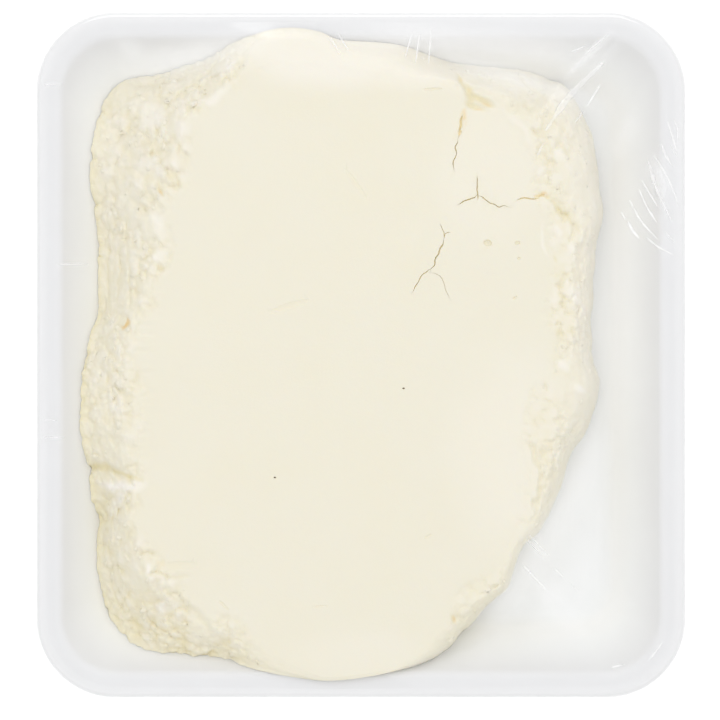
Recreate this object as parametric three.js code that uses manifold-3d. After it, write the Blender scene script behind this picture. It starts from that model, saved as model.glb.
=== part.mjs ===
// A pressed slab of cream cheese in a foam tray, overwrapped in clear stretch film.
// Millimetres, +Z up, +Y towards the pack's far edge. The origin is under the middle of
// the pack, on the surface that it stands on.
import * as THREE from 'three';
import { mergeVertices } from 'three/addons/utils/BufferGeometryUtils.js';
import { ImprovedNoise } from 'three/addons/math/ImprovedNoise.js';
import Module from 'manifold-3d';

const wasm = await Module();
wasm.setup();

// Pack, measured over the film
const packWidth = 135;
const packDepth = 142.5;
const rimHeight = 20.6;
const cornerRadius = 16.5;
const filmThickness = 0.3;
const gap = 0.3;

// Foam tray
const skin = filmThickness + gap;
const trayBottom = skin;
const rimTop = rimHeight - skin;
const lipHeight = 4.1;
const rimBand = 4.6;
const floorThickness = 3.2;
const wallThickness = 3.1;
const wallLean = 0.617;
const edgeRound = 1.3;
const footRound = 3;

// Film
const filmContact = 2;
const foldReach = 34;

// Cheese slab
const slabCentre = new THREE.Vector2(-4, 0);
const plateauEdgeHeight = 21.3;
const crownRise = 1.9;
const swell = 0.25;
const widestHeight = 9;
const footTuck = 2.2;
const brim = 0.3;
const pressing = 0.08;
const lumpSize = 6.5;
const lumpDepth = 2.2;
const curdSize = 3.2;
const curdDepth = 1.3;
const crackDepth = 4;
const crackWidth = 0.8;

// The slab's widest line, seen from above, anticlockwise from the right
const slabOutline = [
  [49.3, -6.3], [47.4, 5], [48, 21.5], [50, 29.5], [48.3, 43], [42.5, 55], [33, 59.6], [18.5, 61.2],
  [8, 64.8], [-5, 66], [-14.5, 68.3], [-21, 67.3], [-33.5, 61], [-44, 58.5], [-53.5, 53], [-56.8, 37],
  [-55, 24], [-55.2, 8.4], [-58.7, -10], [-56.6, -28], [-55.2, -41], [-53, -54.3], [-44, -61.7],
  [-23, -65.4], [-6.5, -68], [6, -66.3], [18.6, -60.6], [27, -51.2], [31.6, -44], [36.4, -36.6],
  [41.6, -26], [46.4, -15.7],
];

// The edge of the smooth top that the film presses flat
const plateauOutline = [
  [35.3, -9.4], [40.1, 5.2], [38.5, 21.9], [36, 40], [30, 52], [19, 57], [8, 61.5], [-8, 64.5],
  [-22, 61.5], [-30, 54], [-36, 42], [-39.9, 24], [-44, 11], [-47, -5], [-46.5, -20], [-46.5, -34],
  [-40, -47], [-32, -53], [-15, -62.5], [-6.5, -65.5], [6, -62.5], [17, -55.5], [25, -47],
  [32, -36.5], [33.6, -26],
];

// Cracks in the top, each from its first point to its last
const crackPaths = [
  [[21.1, 48.9], [20.5, 46.6], [19.4, 42.4], [19.6, 39.7], [19.4, 37.8]],
  [[23.8, 37.2], [24, 33], [22.6, 32.4], [20.1, 30.9]],
  [[24, 33], [27.8, 31.1], [32, 31.6], [38, 33], [41.4, 29.5], [45.6, 24.9]],
  [[16.5, 27.2], [16.9, 22.6], [14.4, 17.6], [12.1, 16.1], [10.2, 12.7]],
  [[14.4, 17.6], [17.1, 15.3], [18.8, 10.7]],
];

// The deep fold in the left shoulder, and the torn hollow at the top right
const foldPath = [[-64, -22.4], [-57, -22.6], [-51, -23.4], [-44.5, -25.6]];
const foldWidth = 4.5;
const foldDepth = 7;
const hollowPath = [[18.6, 59.5], [20.5, 57], [22.8, 54.5], [26.4, 51]];
const hollowWidth = 5.5;
const hollowDepth = 2.8;

const colours = {
  cheese: 0xf3ecd2,
  foam: 0xf3f4f3,
  film: 0xffffff,
};

// Ring of points round a rounded rectangle that lies inset from the pack's outline.
// The wall's corners open out a little as it leans in.
function packRing(inset, z, cornerSteps, sideSteps) {
  const halfWidth = packWidth / 2 - inset;
  const halfDepth = packDepth / 2 - inset;
  const banded = Math.min(inset, rimBand);
  const radius = Math.max(3, cornerRadius - banded - 0.35 * (inset - banded));
  const corners = [[1, 1, 0], [-1, 1, 1], [-1, -1, 2], [1, -1, 3]];
  const ring = [];
  corners.forEach(([sideX, sideY, quarter]) => {
    const centre = new THREE.Vector3(sideX * (halfWidth - radius), sideY * (halfDepth - radius), z);
    for (let step = 0; step <= cornerSteps; step += 1) {
      const angle = (quarter + step / cornerSteps) * Math.PI / 2;
      ring.push(centre.clone().add(new THREE.Vector3(Math.cos(angle), Math.sin(angle), 0).multiplyScalar(radius)));
    }
  });
  const perCorner = cornerSteps + 1;
  const whole = [];
  ring.forEach((point, index) => {
    whole.push(point);
    if (index % perCorner === cornerSteps) {
      const next = ring[(index + 1) % ring.length];
      for (let step = 1; step < sideSteps; step += 1) {
        whole.push(point.clone().lerp(next, step / sideSteps));
      }
    }
  });
  return whole;
}

// Section points [inset, z] with each corner rounded off: corners are [inset, z, round]
function roundedSection(corners, steps) {
  const path = new THREE.Path();
  const at = (index) => new THREE.Vector2(corners[index][0], corners[index][1]);
  path.moveTo(corners[0][0], corners[0][1]);
  for (let index = 1; index < corners.length - 1; index += 1) {
    const corner = at(index);
    const round = corners[index][2];
    const before = at(index - 1).sub(corner).setLength(round).add(corner);
    const after = at(index + 1).sub(corner).setLength(round).add(corner);
    path.lineTo(before.x, before.y);
    path.quadraticCurveTo(corner.x, corner.y, after.x, after.y);
  }
  const last = at(corners.length - 1);
  path.lineTo(last.x, last.y);
  return path.getPoints(steps);
}

// Triangles between two rings that run the same way round, whatever their point counts.
// Between rings of the same count, each quad is split along its shorter diagonal.
function stitch(lower, upper, corners) {
  const paired = lower.length === upper.length;
  let a = 0;
  let b = 0;
  while (a < lower.length || b < upper.length) {
    const low = lower[a % lower.length];
    const high = upper[b % upper.length];
    const nextLow = lower[(a + 1) % lower.length];
    const nextHigh = upper[(b + 1) % upper.length];
    const lowIsShorter = nextLow.distanceTo(high) <= nextHigh.distanceTo(low);
    const lowIsBehind = (a + 1) / lower.length <= (b + 1) / upper.length;
    if (paired && a === b ? lowIsShorter : lowIsBehind) {
      corners.push(low, nextLow, high);
      a += 1;
    } else {
      corners.push(low, nextHigh, high);
      b += 1;
    }
  }
}

// Closed mesh from one end point through a stack of rings to another
function loft(start, rings, end) {
  const corners = [];
  const first = rings[0];
  const last = rings[rings.length - 1];
  first.forEach((point, index) => corners.push(start, first[(index + 1) % first.length], point));
  for (let index = 1; index < rings.length; index += 1) {
    stitch(rings[index - 1], rings[index], corners);
  }
  last.forEach((point, index) => corners.push(point, last[(index + 1) % last.length], end));
  return mergeVertices(new THREE.BufferGeometry().setFromPoints(corners), 1e-4);
}

function toSolid(geometry) {
  return new wasm.Manifold(new wasm.Mesh({
    numProp: 3,
    vertProperties: new Float32Array(geometry.getAttribute('position').array),
    triVerts: new Uint32Array(geometry.getIndex().array),
  }));
}

function toGeometry(solid) {
  const mesh = solid.getMesh();
  const geometry = new THREE.BufferGeometry();
  geometry.setAttribute('position', new THREE.Float32BufferAttribute(mesh.vertProperties, 3));
  geometry.setIndex(Array.from(mesh.triVerts));
  return geometry;
}

// Distance from the slab's centre to a closed line, as a function of direction
function reachOf(points) {
  const samples = points.map((point) => {
    const offset = new THREE.Vector2(point.x, point.y).sub(slabCentre);
    return { angle: offset.angle(), reach: offset.length() };
  });
  samples.sort((one, other) => one.angle - other.angle);
  return (angle) => {
    const turn = 2 * Math.PI;
    const wanted = ((angle % turn) + turn) % turn;
    let high = samples.findIndex((sample) => sample.angle >= wanted);
    high = high < 0 ? 0 : high;
    const before = samples[(high + samples.length - 1) % samples.length];
    const after = samples[high];
    const span = (after.angle - before.angle + turn) % turn;
    const share = span > 0 ? ((wanted - before.angle + turn) % turn) / span : 0;
    return before.reach + (after.reach - before.reach) * share;
  };
}

function smoothLoop(points) {
  const corners = points.map(([x, y]) => new THREE.Vector3(x, y, 0));
  return new THREE.CatmullRomCurve3(corners, true, 'centripetal').getPoints(720).slice(0, 720);
}

const outlineReach = reachOf(smoothLoop(slabOutline));
const plateauReach = reachOf(smoothLoop(plateauOutline));
const contactReach = reachOf(packRing(filmContact, rimHeight, 12, 24));
const noise = new ImprovedNoise();

function direction(angle) {
  return new THREE.Vector2(Math.cos(angle), Math.sin(angle));
}

// The edge of the smooth top stays a little inside the widest line
function plateauEdge(angle) {
  return Math.min(plateauReach(angle), outlineReach(angle) - 1.8);
}

function smooth(low, high, value) {
  return THREE.MathUtils.smoothstep(value, low, high);
}

// Height of the smooth top, crowned and very slightly uneven
function plateauHeight(x, y, share) {
  const rise = crownRise * (1 - share * share);
  return plateauEdgeHeight + rise + swell * noise.noise(x / 22, y / 22, 3.5) * (1 - share ** 4);
}

// Underside of the film over a point outside the smooth top
function filmUnder(angle, reach) {
  const edge = plateauEdge(angle);
  const contact = contactReach(angle);
  const share = (reach - edge) / (contact - edge);
  return THREE.MathUtils.lerp(plateauEdgeHeight + gap + pressing, rimHeight - filmThickness, share);
}

// Random number from 0 to 1 for a cell of a grid
function cellNumber(i, j, k, salt) {
  const wave = Math.sin(i * 127.1 + j * 311.7 + k * 74.7 + salt * 19.3) * 43758.5453;
  return wave - Math.floor(wave);
}

// Packed curds of one size: about 0.9 on a curd's crown, 0 in a seam
function curds(point, size) {
  const place = point.clone().divideScalar(size);
  const cell = place.clone().floor();
  let nearest = 2;
  for (let i = -1; i <= 1; i += 1) {
    for (let j = -1; j <= 1; j += 1) {
      for (let k = -1; k <= 1; k += 1) {
        const corner = new THREE.Vector3(cell.x + i, cell.y + j, cell.z + k);
        const jitter = new THREE.Vector3(
          cellNumber(corner.x, corner.y, corner.z, 1),
          cellNumber(corner.x, corner.y, corner.z, 2),
          cellNumber(corner.x, corner.y, corner.z, 3),
        );
        nearest = Math.min(nearest, place.distanceTo(corner.add(jitter)));
      }
    }
  }
  return Math.max(0, 1 - nearest);
}

// Height of the widest line: low where the slab stands free, up the wall where it leans on
// it, and over the rim where it spills onto it
function widestAt(angle) {
  const flat = direction(angle).multiplyScalar(outlineReach(angle)).add(slabCentre);
  const inset = Math.min(packWidth / 2 - Math.abs(flat.x), packDepth / 2 - Math.abs(flat.y));
  const onWall = rimTop - (inset - wallFace(rimTop, gap)) / wallLean;
  return THREE.MathUtils.clamp(onWall, widestHeight, rimTop + gap + brim);
}

// Point on the slab's crumbly side. Share runs from 0 at the smooth top to 1 at the widest
// line and 2 at the foot.
function sidePoint(angle, share) {
  const edge = plateauEdge(angle);
  const outline = outlineReach(angle);
  const widest = widestAt(angle);
  const spill = smooth(rimTop - 3, rimTop, widest);
  const bottom = floorThickness / 2;
  const below = Math.max(0, share - 1);
  const above = Math.min(1, share);
  const reach = edge + (outline - edge) * above - footTuck * below * below;
  const drop = (1 - above ** 2.2) ** 0.7;
  const z = THREE.MathUtils.lerp(widest, plateauEdgeHeight, drop) - (widest - bottom) * below;
  const flat = direction(angle).multiplyScalar(reach).add(slabCentre);
  const point = new THREE.Vector3(flat.x, flat.y, z);
  const rough = smooth(0, 0.3, share) * (1 - 0.7 * spill);
  const sink = lumpDepth * (0.6 - curds(point, lumpSize)) + curdDepth * (0.65 - curds(point, curdSize));
  const outward = new THREE.Vector3(Math.cos(angle) * above, Math.sin(angle) * above, 1 - 0.7 * above);
  point.addScaledVector(outward.normalize(), -rough * sink);
  const under = filmUnder(angle, new THREE.Vector2(point.x, point.y).distanceTo(slabCentre));
  point.z = Math.min(point.z, under - gap - pressing);
  return point;
}

function topPoint(angle, share) {
  const flat = direction(angle).multiplyScalar(plateauEdge(angle) * share).add(slabCentre);
  return new THREE.Vector3(flat.x, flat.y, plateauHeight(flat.x, flat.y, share));
}

function ringOf(count, pointAt) {
  return Array.from({ length: count }, (_, index) => pointAt(index / count * 2 * Math.PI));
}

function slabGeometry() {
  const sideShares = [2, 1.6, 1.35, 1.15, 1, 0.9, 0.8, 0.7, 0.6, 0.5, 0.4, 0.3, 0.2, 0.1];
  const topShares = [[1, 192], [0.92, 96], [0.78, 96], [0.6, 48], [0.4, 48], [0.2, 24]];
  const rings = sideShares.map((share) => ringOf(192, (angle) => sidePoint(angle, share)));
  topShares.forEach(([share, count]) => {
    rings.push(ringOf(count, (angle) => topPoint(angle, share)));
  });
  const foot = new THREE.Vector3(slabCentre.x, slabCentre.y, rings[0][0].z);
  const crown = topPoint(0, 0);
  return loft(foot, rings, crown);
}

// Inner face of the tray's wall at a height, moved off the foam by a clearance
function wallFace(z, clearance) {
  return rimBand + skin + wallLean * (rimTop - z) + clearance * Math.hypot(1, wallLean);
}

// The space over the tray that the cheese may fill, clear of the foam all over
function roomGeometry() {
  const floor = trayBottom + floorThickness + gap;
  const rim = rimTop + gap;
  const above = rimTop + 30;
  const section = roundedSection([
    [wallFace(floor, gap) + 2 * footRound, floor],
    [wallFace(floor, gap), floor, footRound],
    [wallFace(rim, gap), rim, edgeRound],
    [-5, rim, 1],
    [-5, above],
  ], 2);
  const rings = section.map((point) => packRing(point.x, point.y, 8, 1));
  return loft(new THREE.Vector3(0, 0, floor), rings, new THREE.Vector3(0, 0, above));
}

function trayGeometry() {
  const floor = trayBottom + floorThickness;
  const lip = rimTop - lipHeight;
  const outerFace = (z) => wallFace(z, -wallThickness);
  const section = roundedSection([
    [outerFace(trayBottom) + 2 * footRound, trayBottom],
    [outerFace(trayBottom), trayBottom, footRound],
    [outerFace(lip), lip, 1],
    [skin, lip, 0.9],
    [skin, rimTop, edgeRound],
    [wallFace(rimTop, 0), rimTop, edgeRound],
    [wallFace(floor, 0), floor, footRound],
    [wallFace(floor, 0) + 2 * footRound, floor],
  ], 2);
  const rings = section.map((point) => packRing(point.x, point.y, 8, 1));
  return loft(new THREE.Vector3(0, 0, trayBottom), rings, new THREE.Vector3(0, 0, floor));
}

// Film drawn over the cheese to the rim, down past the wall and turned under the tray.
// Off is how far a face of the film lies outside its inner face.
function filmSection(off) {
  const foot = wallFace(trayBottom, -wallThickness) - gap;
  const lip = rimTop - lipHeight - gap;
  return roundedSection([
    [foldReach, filmThickness - off],
    [foot - off, filmThickness - off, edgeRound],
    [filmThickness - off, lip, edgeRound],
    [filmThickness - off, rimHeight - filmThickness + off, edgeRound],
    [filmContact, rimHeight - filmThickness + off],
  ], 2).map((point) => packRing(point.x, point.y, 8, 5));
}

function filmTop(off, contactRing) {
  const shares = [1, 0.67, 0.33];
  const lift = gap + pressing + off;
  const angles = contactRing.map((point) => new THREE.Vector2(point.x, point.y).sub(slabCentre).angle());
  const rings = shares.map((share) => angles.map((angle) => {
    const point = topPoint(angle, share);
    point.z += lift;
    return point;
  }));
  const crown = topPoint(0, 0);
  crown.z += lift;
  return { rings, crown };
}

// The space under the film that the cheese may fill, clear of the film all over
function coverGeometry() {
  const contact = packRing(filmContact, rimHeight - filmThickness - gap, 8, 5);
  const foot = packRing(filmContact, 0, 8, 5);
  const top = filmTop(-gap, contact);
  return loft(new THREE.Vector3(0, 0, 0), [foot, contact, ...top.rings], top.crown);
}

function filmGeometry() {
  const outer = filmSection(filmThickness);
  const inner = filmSection(0);
  const top = filmTop(filmThickness, outer[outer.length - 1]);
  const under = filmTop(0, inner[inner.length - 1]);
  const rings = [...under.rings.reverse(), ...inner.reverse(), ...outer, ...top.rings];
  return loft(under.crown, rings, top.crown);
}

// V-shaped groove along a path: wide at the top, a line at the bottom, pinched at both ends
function grooveSolid(path, width, depth, surface) {
  const curve = new THREE.CatmullRomCurve3(path.map(([x, y]) => new THREE.Vector3(x, y, 0)));
  const steps = path.length * 2;
  const overhead = 2;
  const rings = [];
  for (let step = 0; step <= steps; step += 1) {
    const share = step / steps;
    const centre = curve.getPoint(share);
    const tangent = curve.getTangent(share);
    const side = new THREE.Vector3(-tangent.y, tangent.x, 0);
    const fullness = 0.25 + 0.75 * Math.sin(Math.PI * share);
    const half = fullness * width * (1 + overhead / depth) / 2;
    rings.push([
      centre.clone().addScaledVector(side, -half).setZ(surface + overhead),
      centre.clone().setZ(surface - depth * fullness),
      centre.clone().addScaledVector(side, half).setZ(surface + overhead),
    ]);
  }
  const middle = (ring) => ring[0].clone().add(ring[1]).add(ring[2]).divideScalar(3);
  return toSolid(loft(middle(rings[0]), rings, middle(rings[rings.length - 1])));
}

function cheeseGeometry() {
  let solid = toSolid(slabGeometry());
  solid = solid.intersect(toSolid(roomGeometry())).intersect(toSolid(coverGeometry()));
  crackPaths.forEach((path) => {
    solid = solid.subtract(grooveSolid(path, crackWidth, crackDepth, plateauEdgeHeight + 0.5));
  });
  solid = solid.subtract(grooveSolid(foldPath, foldWidth, foldDepth, plateauEdgeHeight - 1));
  solid = solid.subtract(grooveSolid(hollowPath, hollowWidth, hollowDepth, plateauEdgeHeight));
  return toGeometry(solid);
}

function addMesh(group, name, geometry, material) {
  geometry.computeVertexNormals();
  const mesh = new THREE.Mesh(geometry, new THREE.MeshStandardMaterial(material));
  mesh.name = name;
  group.add(mesh);
}

const pack = new THREE.Group();
addMesh(pack, 'tray', trayGeometry(), { color: colours.foam, roughness: 0.6, metalness: 0 });
addMesh(pack, 'cheese', cheeseGeometry(), { color: colours.cheese, roughness: 0.55, metalness: 0 });
addMesh(pack, 'film', filmGeometry(), {
  color: colours.film, roughness: 0.1, metalness: 0, transparent: true, opacity: 0.15,
});

export default pack;
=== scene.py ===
"""A slab of fresh cream cheese in a white foam tray, overwrapped in clear stretch film.

Shapes are worked out in millimetres, +Z up, and scaled to metres when their mesh is made.
"""
import itertools
import math

import bpy
import numpy as np
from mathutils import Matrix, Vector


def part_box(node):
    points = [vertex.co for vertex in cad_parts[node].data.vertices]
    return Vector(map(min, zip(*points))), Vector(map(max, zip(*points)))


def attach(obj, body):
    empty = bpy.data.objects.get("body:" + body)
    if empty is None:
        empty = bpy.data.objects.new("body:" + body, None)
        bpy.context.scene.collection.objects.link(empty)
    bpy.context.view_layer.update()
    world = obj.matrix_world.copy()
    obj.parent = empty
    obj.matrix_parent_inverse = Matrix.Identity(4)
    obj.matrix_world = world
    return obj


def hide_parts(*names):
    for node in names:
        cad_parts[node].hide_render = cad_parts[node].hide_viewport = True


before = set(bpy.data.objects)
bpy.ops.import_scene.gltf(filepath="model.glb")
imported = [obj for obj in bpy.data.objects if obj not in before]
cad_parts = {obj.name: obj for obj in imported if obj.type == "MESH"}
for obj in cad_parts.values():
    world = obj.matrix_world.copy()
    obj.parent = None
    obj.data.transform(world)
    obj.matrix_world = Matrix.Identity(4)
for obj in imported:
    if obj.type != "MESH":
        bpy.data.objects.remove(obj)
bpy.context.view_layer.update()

MM = 0.001
TURN = 2 * math.pi


def box_mm(node):
    """Lowest and highest corner of a CAD node, in millimetres"""
    low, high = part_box(node)
    return np.array(low) / MM, np.array(high) / MM


film_low, film_high = box_mm("film")
tray_low, tray_high = box_mm("tray")
cheese_low, cheese_high = box_mm("cheese")

# Pack, measured over the film
PACK_WIDTH = film_high[0] - film_low[0]
PACK_DEPTH = film_high[1] - film_low[1]
RIM_TOP = tray_high[2]
TRAY_BOTTOM = tray_low[2]
SKIN = TRAY_BOTTOM
CORNER_RADIUS = 16.5
CORNER_STEPS = 32
SIDE_STEPS = 36

# Foam tray
LIP_HEIGHT = 4.1
RIM_BAND = 4.6
FLOOR_THICKNESS = 3.2
WALL_THICKNESS = 3.1
WALL_LEAN = 0.617
EDGE_ROUND = 1.3
FOOT_ROUND = 3.0
LEAST_RADIUS = 3.0
CORNER_OPENING = 0.35
SNUG = 0.16
FLOOR_TOP = TRAY_BOTTOM + FLOOR_THICKNESS

# Stretch film
FILM_THICKNESS = 0.04
FILM_TOUCH = 0.04
FILM_CONTACT = 2.0
FILM_ROUND = 1.3
FILM_INSET = 0.1
UNDERSIDE = 0.08
FOLD_REACH = 34.0
CREASE_FLATNESS = 0.16
CREASE_LIFT = 0.05
FOLD_DEPTH = 0.9
SAG_RIPPLE = 0.09

# Cheese slab
SLAB_CENTRE = np.array([-4.0, 0.0])
TOP_EDGE_HEIGHT = 21.3
CROWN_RISE = 1.9
LEAST_SHOULDER = 1.3
EDGE_RAGGEDNESS = 1.5
WIDEST_HEIGHT = 5.5
FOOT_TUCK = 0.4
BRIM = 0.6
EDGE_INSET = 0.7
CLEARANCE = 0.06
LUMP_SIZE = 6.5
LUMP_DEPTH = 1.8
CURD_SIZE = 3.2
CURD_DEPTH = 2.0
GRAIN_SIZE = 1.6
GRAIN_DEPTH = 1.9
FINE_SIZE = 0.9
FINE_DEPTH = 0.75
GRAIN_SOFTNESS = 16
MIDDLE_SINK = 0.27
DEEPEST_SINK = 2.2
YELLOW_SIDE = math.radians(250)
DRAG_DEPTH = 0.14
SHOULDER_COLUMNS = 1152
SHOULDER_RINGS = 57
EDGE_RINGS = 14

# How coarse the crumbly sides are: direction from the slab's centre in degrees, coarseness
COARSENESS = [
    (6, 0.65), (25, 0.65), (38, 0.5), (50, 0.5), (58, 0.35), (66, 0.2), (72, 0.1), (98, 0.1),
    (104, 0.35), (110, 0.6), (118, 0.75), (155, 0.75), (165, 0.6), (175, 0.7), (190, 0.8), (203, 0.3),
    (212, 0.8), (222, 0.6), (235, 0.9), (245, 0.9), (252, 0.7), (260, 0.25), (288, 0.12), (292, 0.4),
    (300, 0.55), (310, 0.35), (322, 0.35), (335, 0.45), (350, 0.6),
]
# The slab's widest line, seen from above, anticlockwise from the right
SLAB_OUTLINE = [
    (49.3, -6.3), (47.9, -1), (47.4, 5), (47.9, 13.6), (48.3, 21.9), (50, 29.3), (49.3, 35.5), (48.3, 42.8),
    (45.4, 51.2), (42.6, 55), (39.5, 57.5), (33.2, 59.6), (18.5, 61.2), (8, 64.8), (-5, 66),
    (-8.6, 67.5), (-14.8, 68.3), (-20.8, 67.3), (-27.4, 64.8), (-33.6, 61.2), (-44, 58.5), (-50.4, 57),
    (-53.6, 53.2), (-54.9, 49), (-56.2, 42.8), (-56.5, 36.6), (-55.6, 30.3), (-55, 24), (-55, 13.6),
    (-55.2, 8.4), (-56.2, 5.2), (-58.1, -3.1), (-58.7, -9.6), (-58.3, -17.8), (-57.2, -24), (-56.6, -28.2),
    (-55, -34.5), (-55.2, -41), (-54.5, -47), (-52.9, -54.4), (-48.3, -59.6), (-44, -61.7), (-35.7, -62.7),
    (-29.5, -63.1), (-23, -65.4), (-14.8, -67.1), (-6.5, -68), (6, -66.3), (14.4, -63.7), (18.6, -60.6),
    (22.8, -55.4), (27, -51.2), (30.1, -48.1), (31.6, -44), (33.2, -39.7), (36.4, -36.6), (39.1, -32.4),
    (41.6, -26), (43.7, -19.9), (46.4, -15.7), (48.3, -11.5),
]

# The edge of the smooth top that the film presses flat
TOP_OUTLINE = [
    (35.3, -9.4), (38.5, -3.1), (40.1, 5.2), (39.1, 13.6), (38.5, 21.9), (37.4, 31.3), (35.9, 36.6),
    (34.9, 45), (29.5, 52), (20.5, 54), (18.6, 56), (8, 57.5), (-8, 60), (-19, 60), (-25.5, 56.5),
    (-32.6, 50.2), (-35.7, 42.8), (-38.2, 34.5), (-39.9, 24), (-44.1, 11.5), (-46.2, 5.2), (-46.8, -1),
    (-46.6, -17.8), (-45.6, -26.1), (-46.8, -34.5), (-44.1, -40.8), (-39.9, -47), (-33.6, -51.2),
    (-28.4, -55.4), (-20.7, -59.6), (-14.8, -63.7), (-6.5, -66.8), (1.9, -66), (8.2, -63.5),
    (16.5, -56.4), (19.6, -51.2), (24.9, -47), (28, -44.9), (30.1, -39.7), (33.2, -34.5), (33.6, -26.1),
    (34.3, -17.8),
]

# Cracks in the top: path, then the greatest width and the depth
CRACKS = [
    ([(21.2, 49.9), (20.8, 48.3), (20.4, 46.7), (19.9, 44.8)], 1.0, 0.68),
    ([(20, 45.4), (19.6, 43), (19.7, 41.4), (19.2, 39.8), (19.4, 37.6)], 0.32, 0.5),
    ([(23.8, 37.4), (24, 35.2), (24.2, 33), (23.9, 31.9)], 0.34, 0.5),
    ([(24.4, 33.2), (23, 32.3), (21.6, 31.9), (19.8, 30.7)], 0.36, 0.55),
    ([(23.9, 33.2), (25.4, 32.4), (26.9, 31.2), (28.8, 30.8), (31.2, 30.6)], 0.3, 0.45),
    ([(31.8, 31.9), (33.6, 32.5), (35.4, 32.3), (38.2, 33)], 0.4, 0.4),
    ([(16.4, 27.4), (17, 25.6), (17.1, 23.6)], 0.22, 0.35),
    ([(18.6, 25.2), (17.6, 25), (17, 24)], 0.2, 0.3),
    ([(17.1, 24.2), (16.8, 22.4), (15.8, 20.8), (15, 18.8), (14.2, 16.8)], 0.46, 0.62),
    ([(14.8, 17.8), (13.4, 17.1), (12.2, 16), (11.2, 14.2), (10.2, 12.5)], 0.28, 0.45),
    ([(14.2, 17.2), (15.8, 16.6), (17, 15.2), (17.7, 13.2), (18.9, 10.6)], 0.18, 0.25),
]

# Grooves in the curd: path, width, depth and how yellow they are
GROOVES = [
    ([(-59.4, -24.8), (-54.4, -23.6), (-50.4, -24.8)], 3.6, 1.5, 1.0),
    ([(-53, -23.6), (-49, -24.7), (-45, -26)], 2.2, 0.5, 1.0),
    ([(-54, -23.9), (-50.6, -24.5), (-47.2, -25.4)], 0.9, 0.2, 1.0),
    ([(20.2, 59), (20.9, 56.4), (21.7, 54.2)], 1.6, 0.7, 0.9),
    ([(21.6, 56.6), (22.3, 54.2), (22.6, 51.2)], 3.2, 0.8, 1.0),
    ([(22.2, 54), (24.6, 52.9), (27.6, 51.4)], 2.8, 0.8, 1.0),
    ([(21.3, 53), (22.6, 51.5), (25.4, 50.7)], 2.4, 0.6, 0.9),
    ([(35.4, 32.4), (38.4, 32.9)], 0.9, 0.5, 0.5),
    ([(37.4, 32.8), (39.2, 32), (41.2, 29.7), (43.3, 28.2), (45.2, 25)], 2.2, 0.7, 0.75),
    ([(18.7, -53.8), (20, -56)], 2.6, 0.4, 0.7),
    ([(-41.9, 34.4), (-40.9, 33.2)], 1.6, 0.7, 0.6),
    ([(-49.7, 6.3), (-48.7, 5.6), (-48, 6.6), (-48.3, 8)], 1.1, 0.9, 0.9),
    ([(32.4, 58.9), (36, 55.4), (40.1, 50.8)], 2.2, 0.6, 0.5),
    ([(34.8, 47.6), (36.4, 45.6), (38.4, 44.8)], 1.3, 0.5, 0.6),
    ([(34.3, -16.9), (37.4, -25.3), (35.4, -35.1)], 2.2, 0.5, 0.5),
    ([(39.8, 20.4), (40.7, 18.8)], 1.7, 0.3, 0.6),
    ([(41.3, 17.8), (42.7, 16.2)], 1.6, 0.3, 0.5),
    ([(40.4, 12.9), (43.3, 11.1)], 1.8, 0.3, 0.55),
    ([(40.7, 5.8), (41.8, 3.2)], 2.8, 0.2, 0.5),
    ([(43.2, 6), (44.2, 3.4)], 2.6, 0.2, 0.45),
    ([(38.4, 52.6), (37.6, 47.2), (39.4, 41), (38.6, 35.6)], 1.6, 0.25, 0.45),
    ([(38.6, 45.2), (41.6, 43.4), (43.8, 39.6)], 1.3, 0.2, 0.4),
    ([(-42.8, -45), (-39, -45.9), (-35.2, -45.6)], 1.6, 0.25, 0.3),
    ([(-41.8, -48.1), (-33, -54.5), (-30.5, -59.6)], 3.2, 0.5, 0.3),
    ([(-53.2, 24), (-52.8, 8)], 1.5, 0.5, 0.4),
    ([(-50.6, 23), (-50.4, 9)], 1.3, 0.45, 0.4),
    ([(-48.1, 22), (-47.9, 10)], 1.3, 0.4, 0.3),
]

# Pale swellings in the curd: path, width, height and how pale they are
SWELLINGS = [
    ([(-55, -26.4), (-52.2, -27.3), (-48.9, -27.2), (-44.8, -26.8)], 4.9, 0.9, 1.0),
    ([(-38.6, 49), (-37.4, 47.4), (-37.6, 44.8)], 5.6, 0.4, 0.65),
    ([(-33, 52), (-30.2, 53), (-27, 56)], 3.8, 0.3, 0.6),
    ([(-28.6, 57.4), (-26.2, 61.6)], 2.4, 0.3, 0.7),
    ([(-43.4, 50.6), (-42.4, 49)], 2.6, 0.35, 0.5),
    ([(-41.8, 39.6), (-41.2, 36.6)], 3.4, 0.35, 0.6),
    ([(-43.8, 29.4), (-42, 27.4), (-42.6, 24)], 4.6, 0.35, 0.6),
    ([(-44.3, -43.4), (-44.1, -45.8)], 1.7, 0.4, 1.0),
    ([(33, -16.6), (36, -26), (34, -35.4)], 2.4, 0.2, 0.25),
    ([(29.4, 50.6), (33, 47.6), (36, 42)], 3.2, 0.3, 0.5),
    ([(37.2, 27.4), (37.4, 23), (38.8, 20.4)], 1.3, 0.2, 0.6),
    ([(40.4, 27.2), (41.4, 24.4)], 3.6, 0.3, 0.7),
    ([(43.3, 23.6), (43.8, 20.4)], 2.8, 0.3, 0.7),
    ([(42.3, 15.9), (42.8, 14.5)], 2.4, 0.3, 0.5),
    ([(45.2, 8.8), (45.7, 5.8)], 2.6, 0.25, 0.6),
    ([(40.8, -1), (43.4, -3.2)], 3.6, 0.25, 0.7),
    ([(44.2, -5.8), (47, -8.4)], 3.8, 0.3, 0.8),
]

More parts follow.
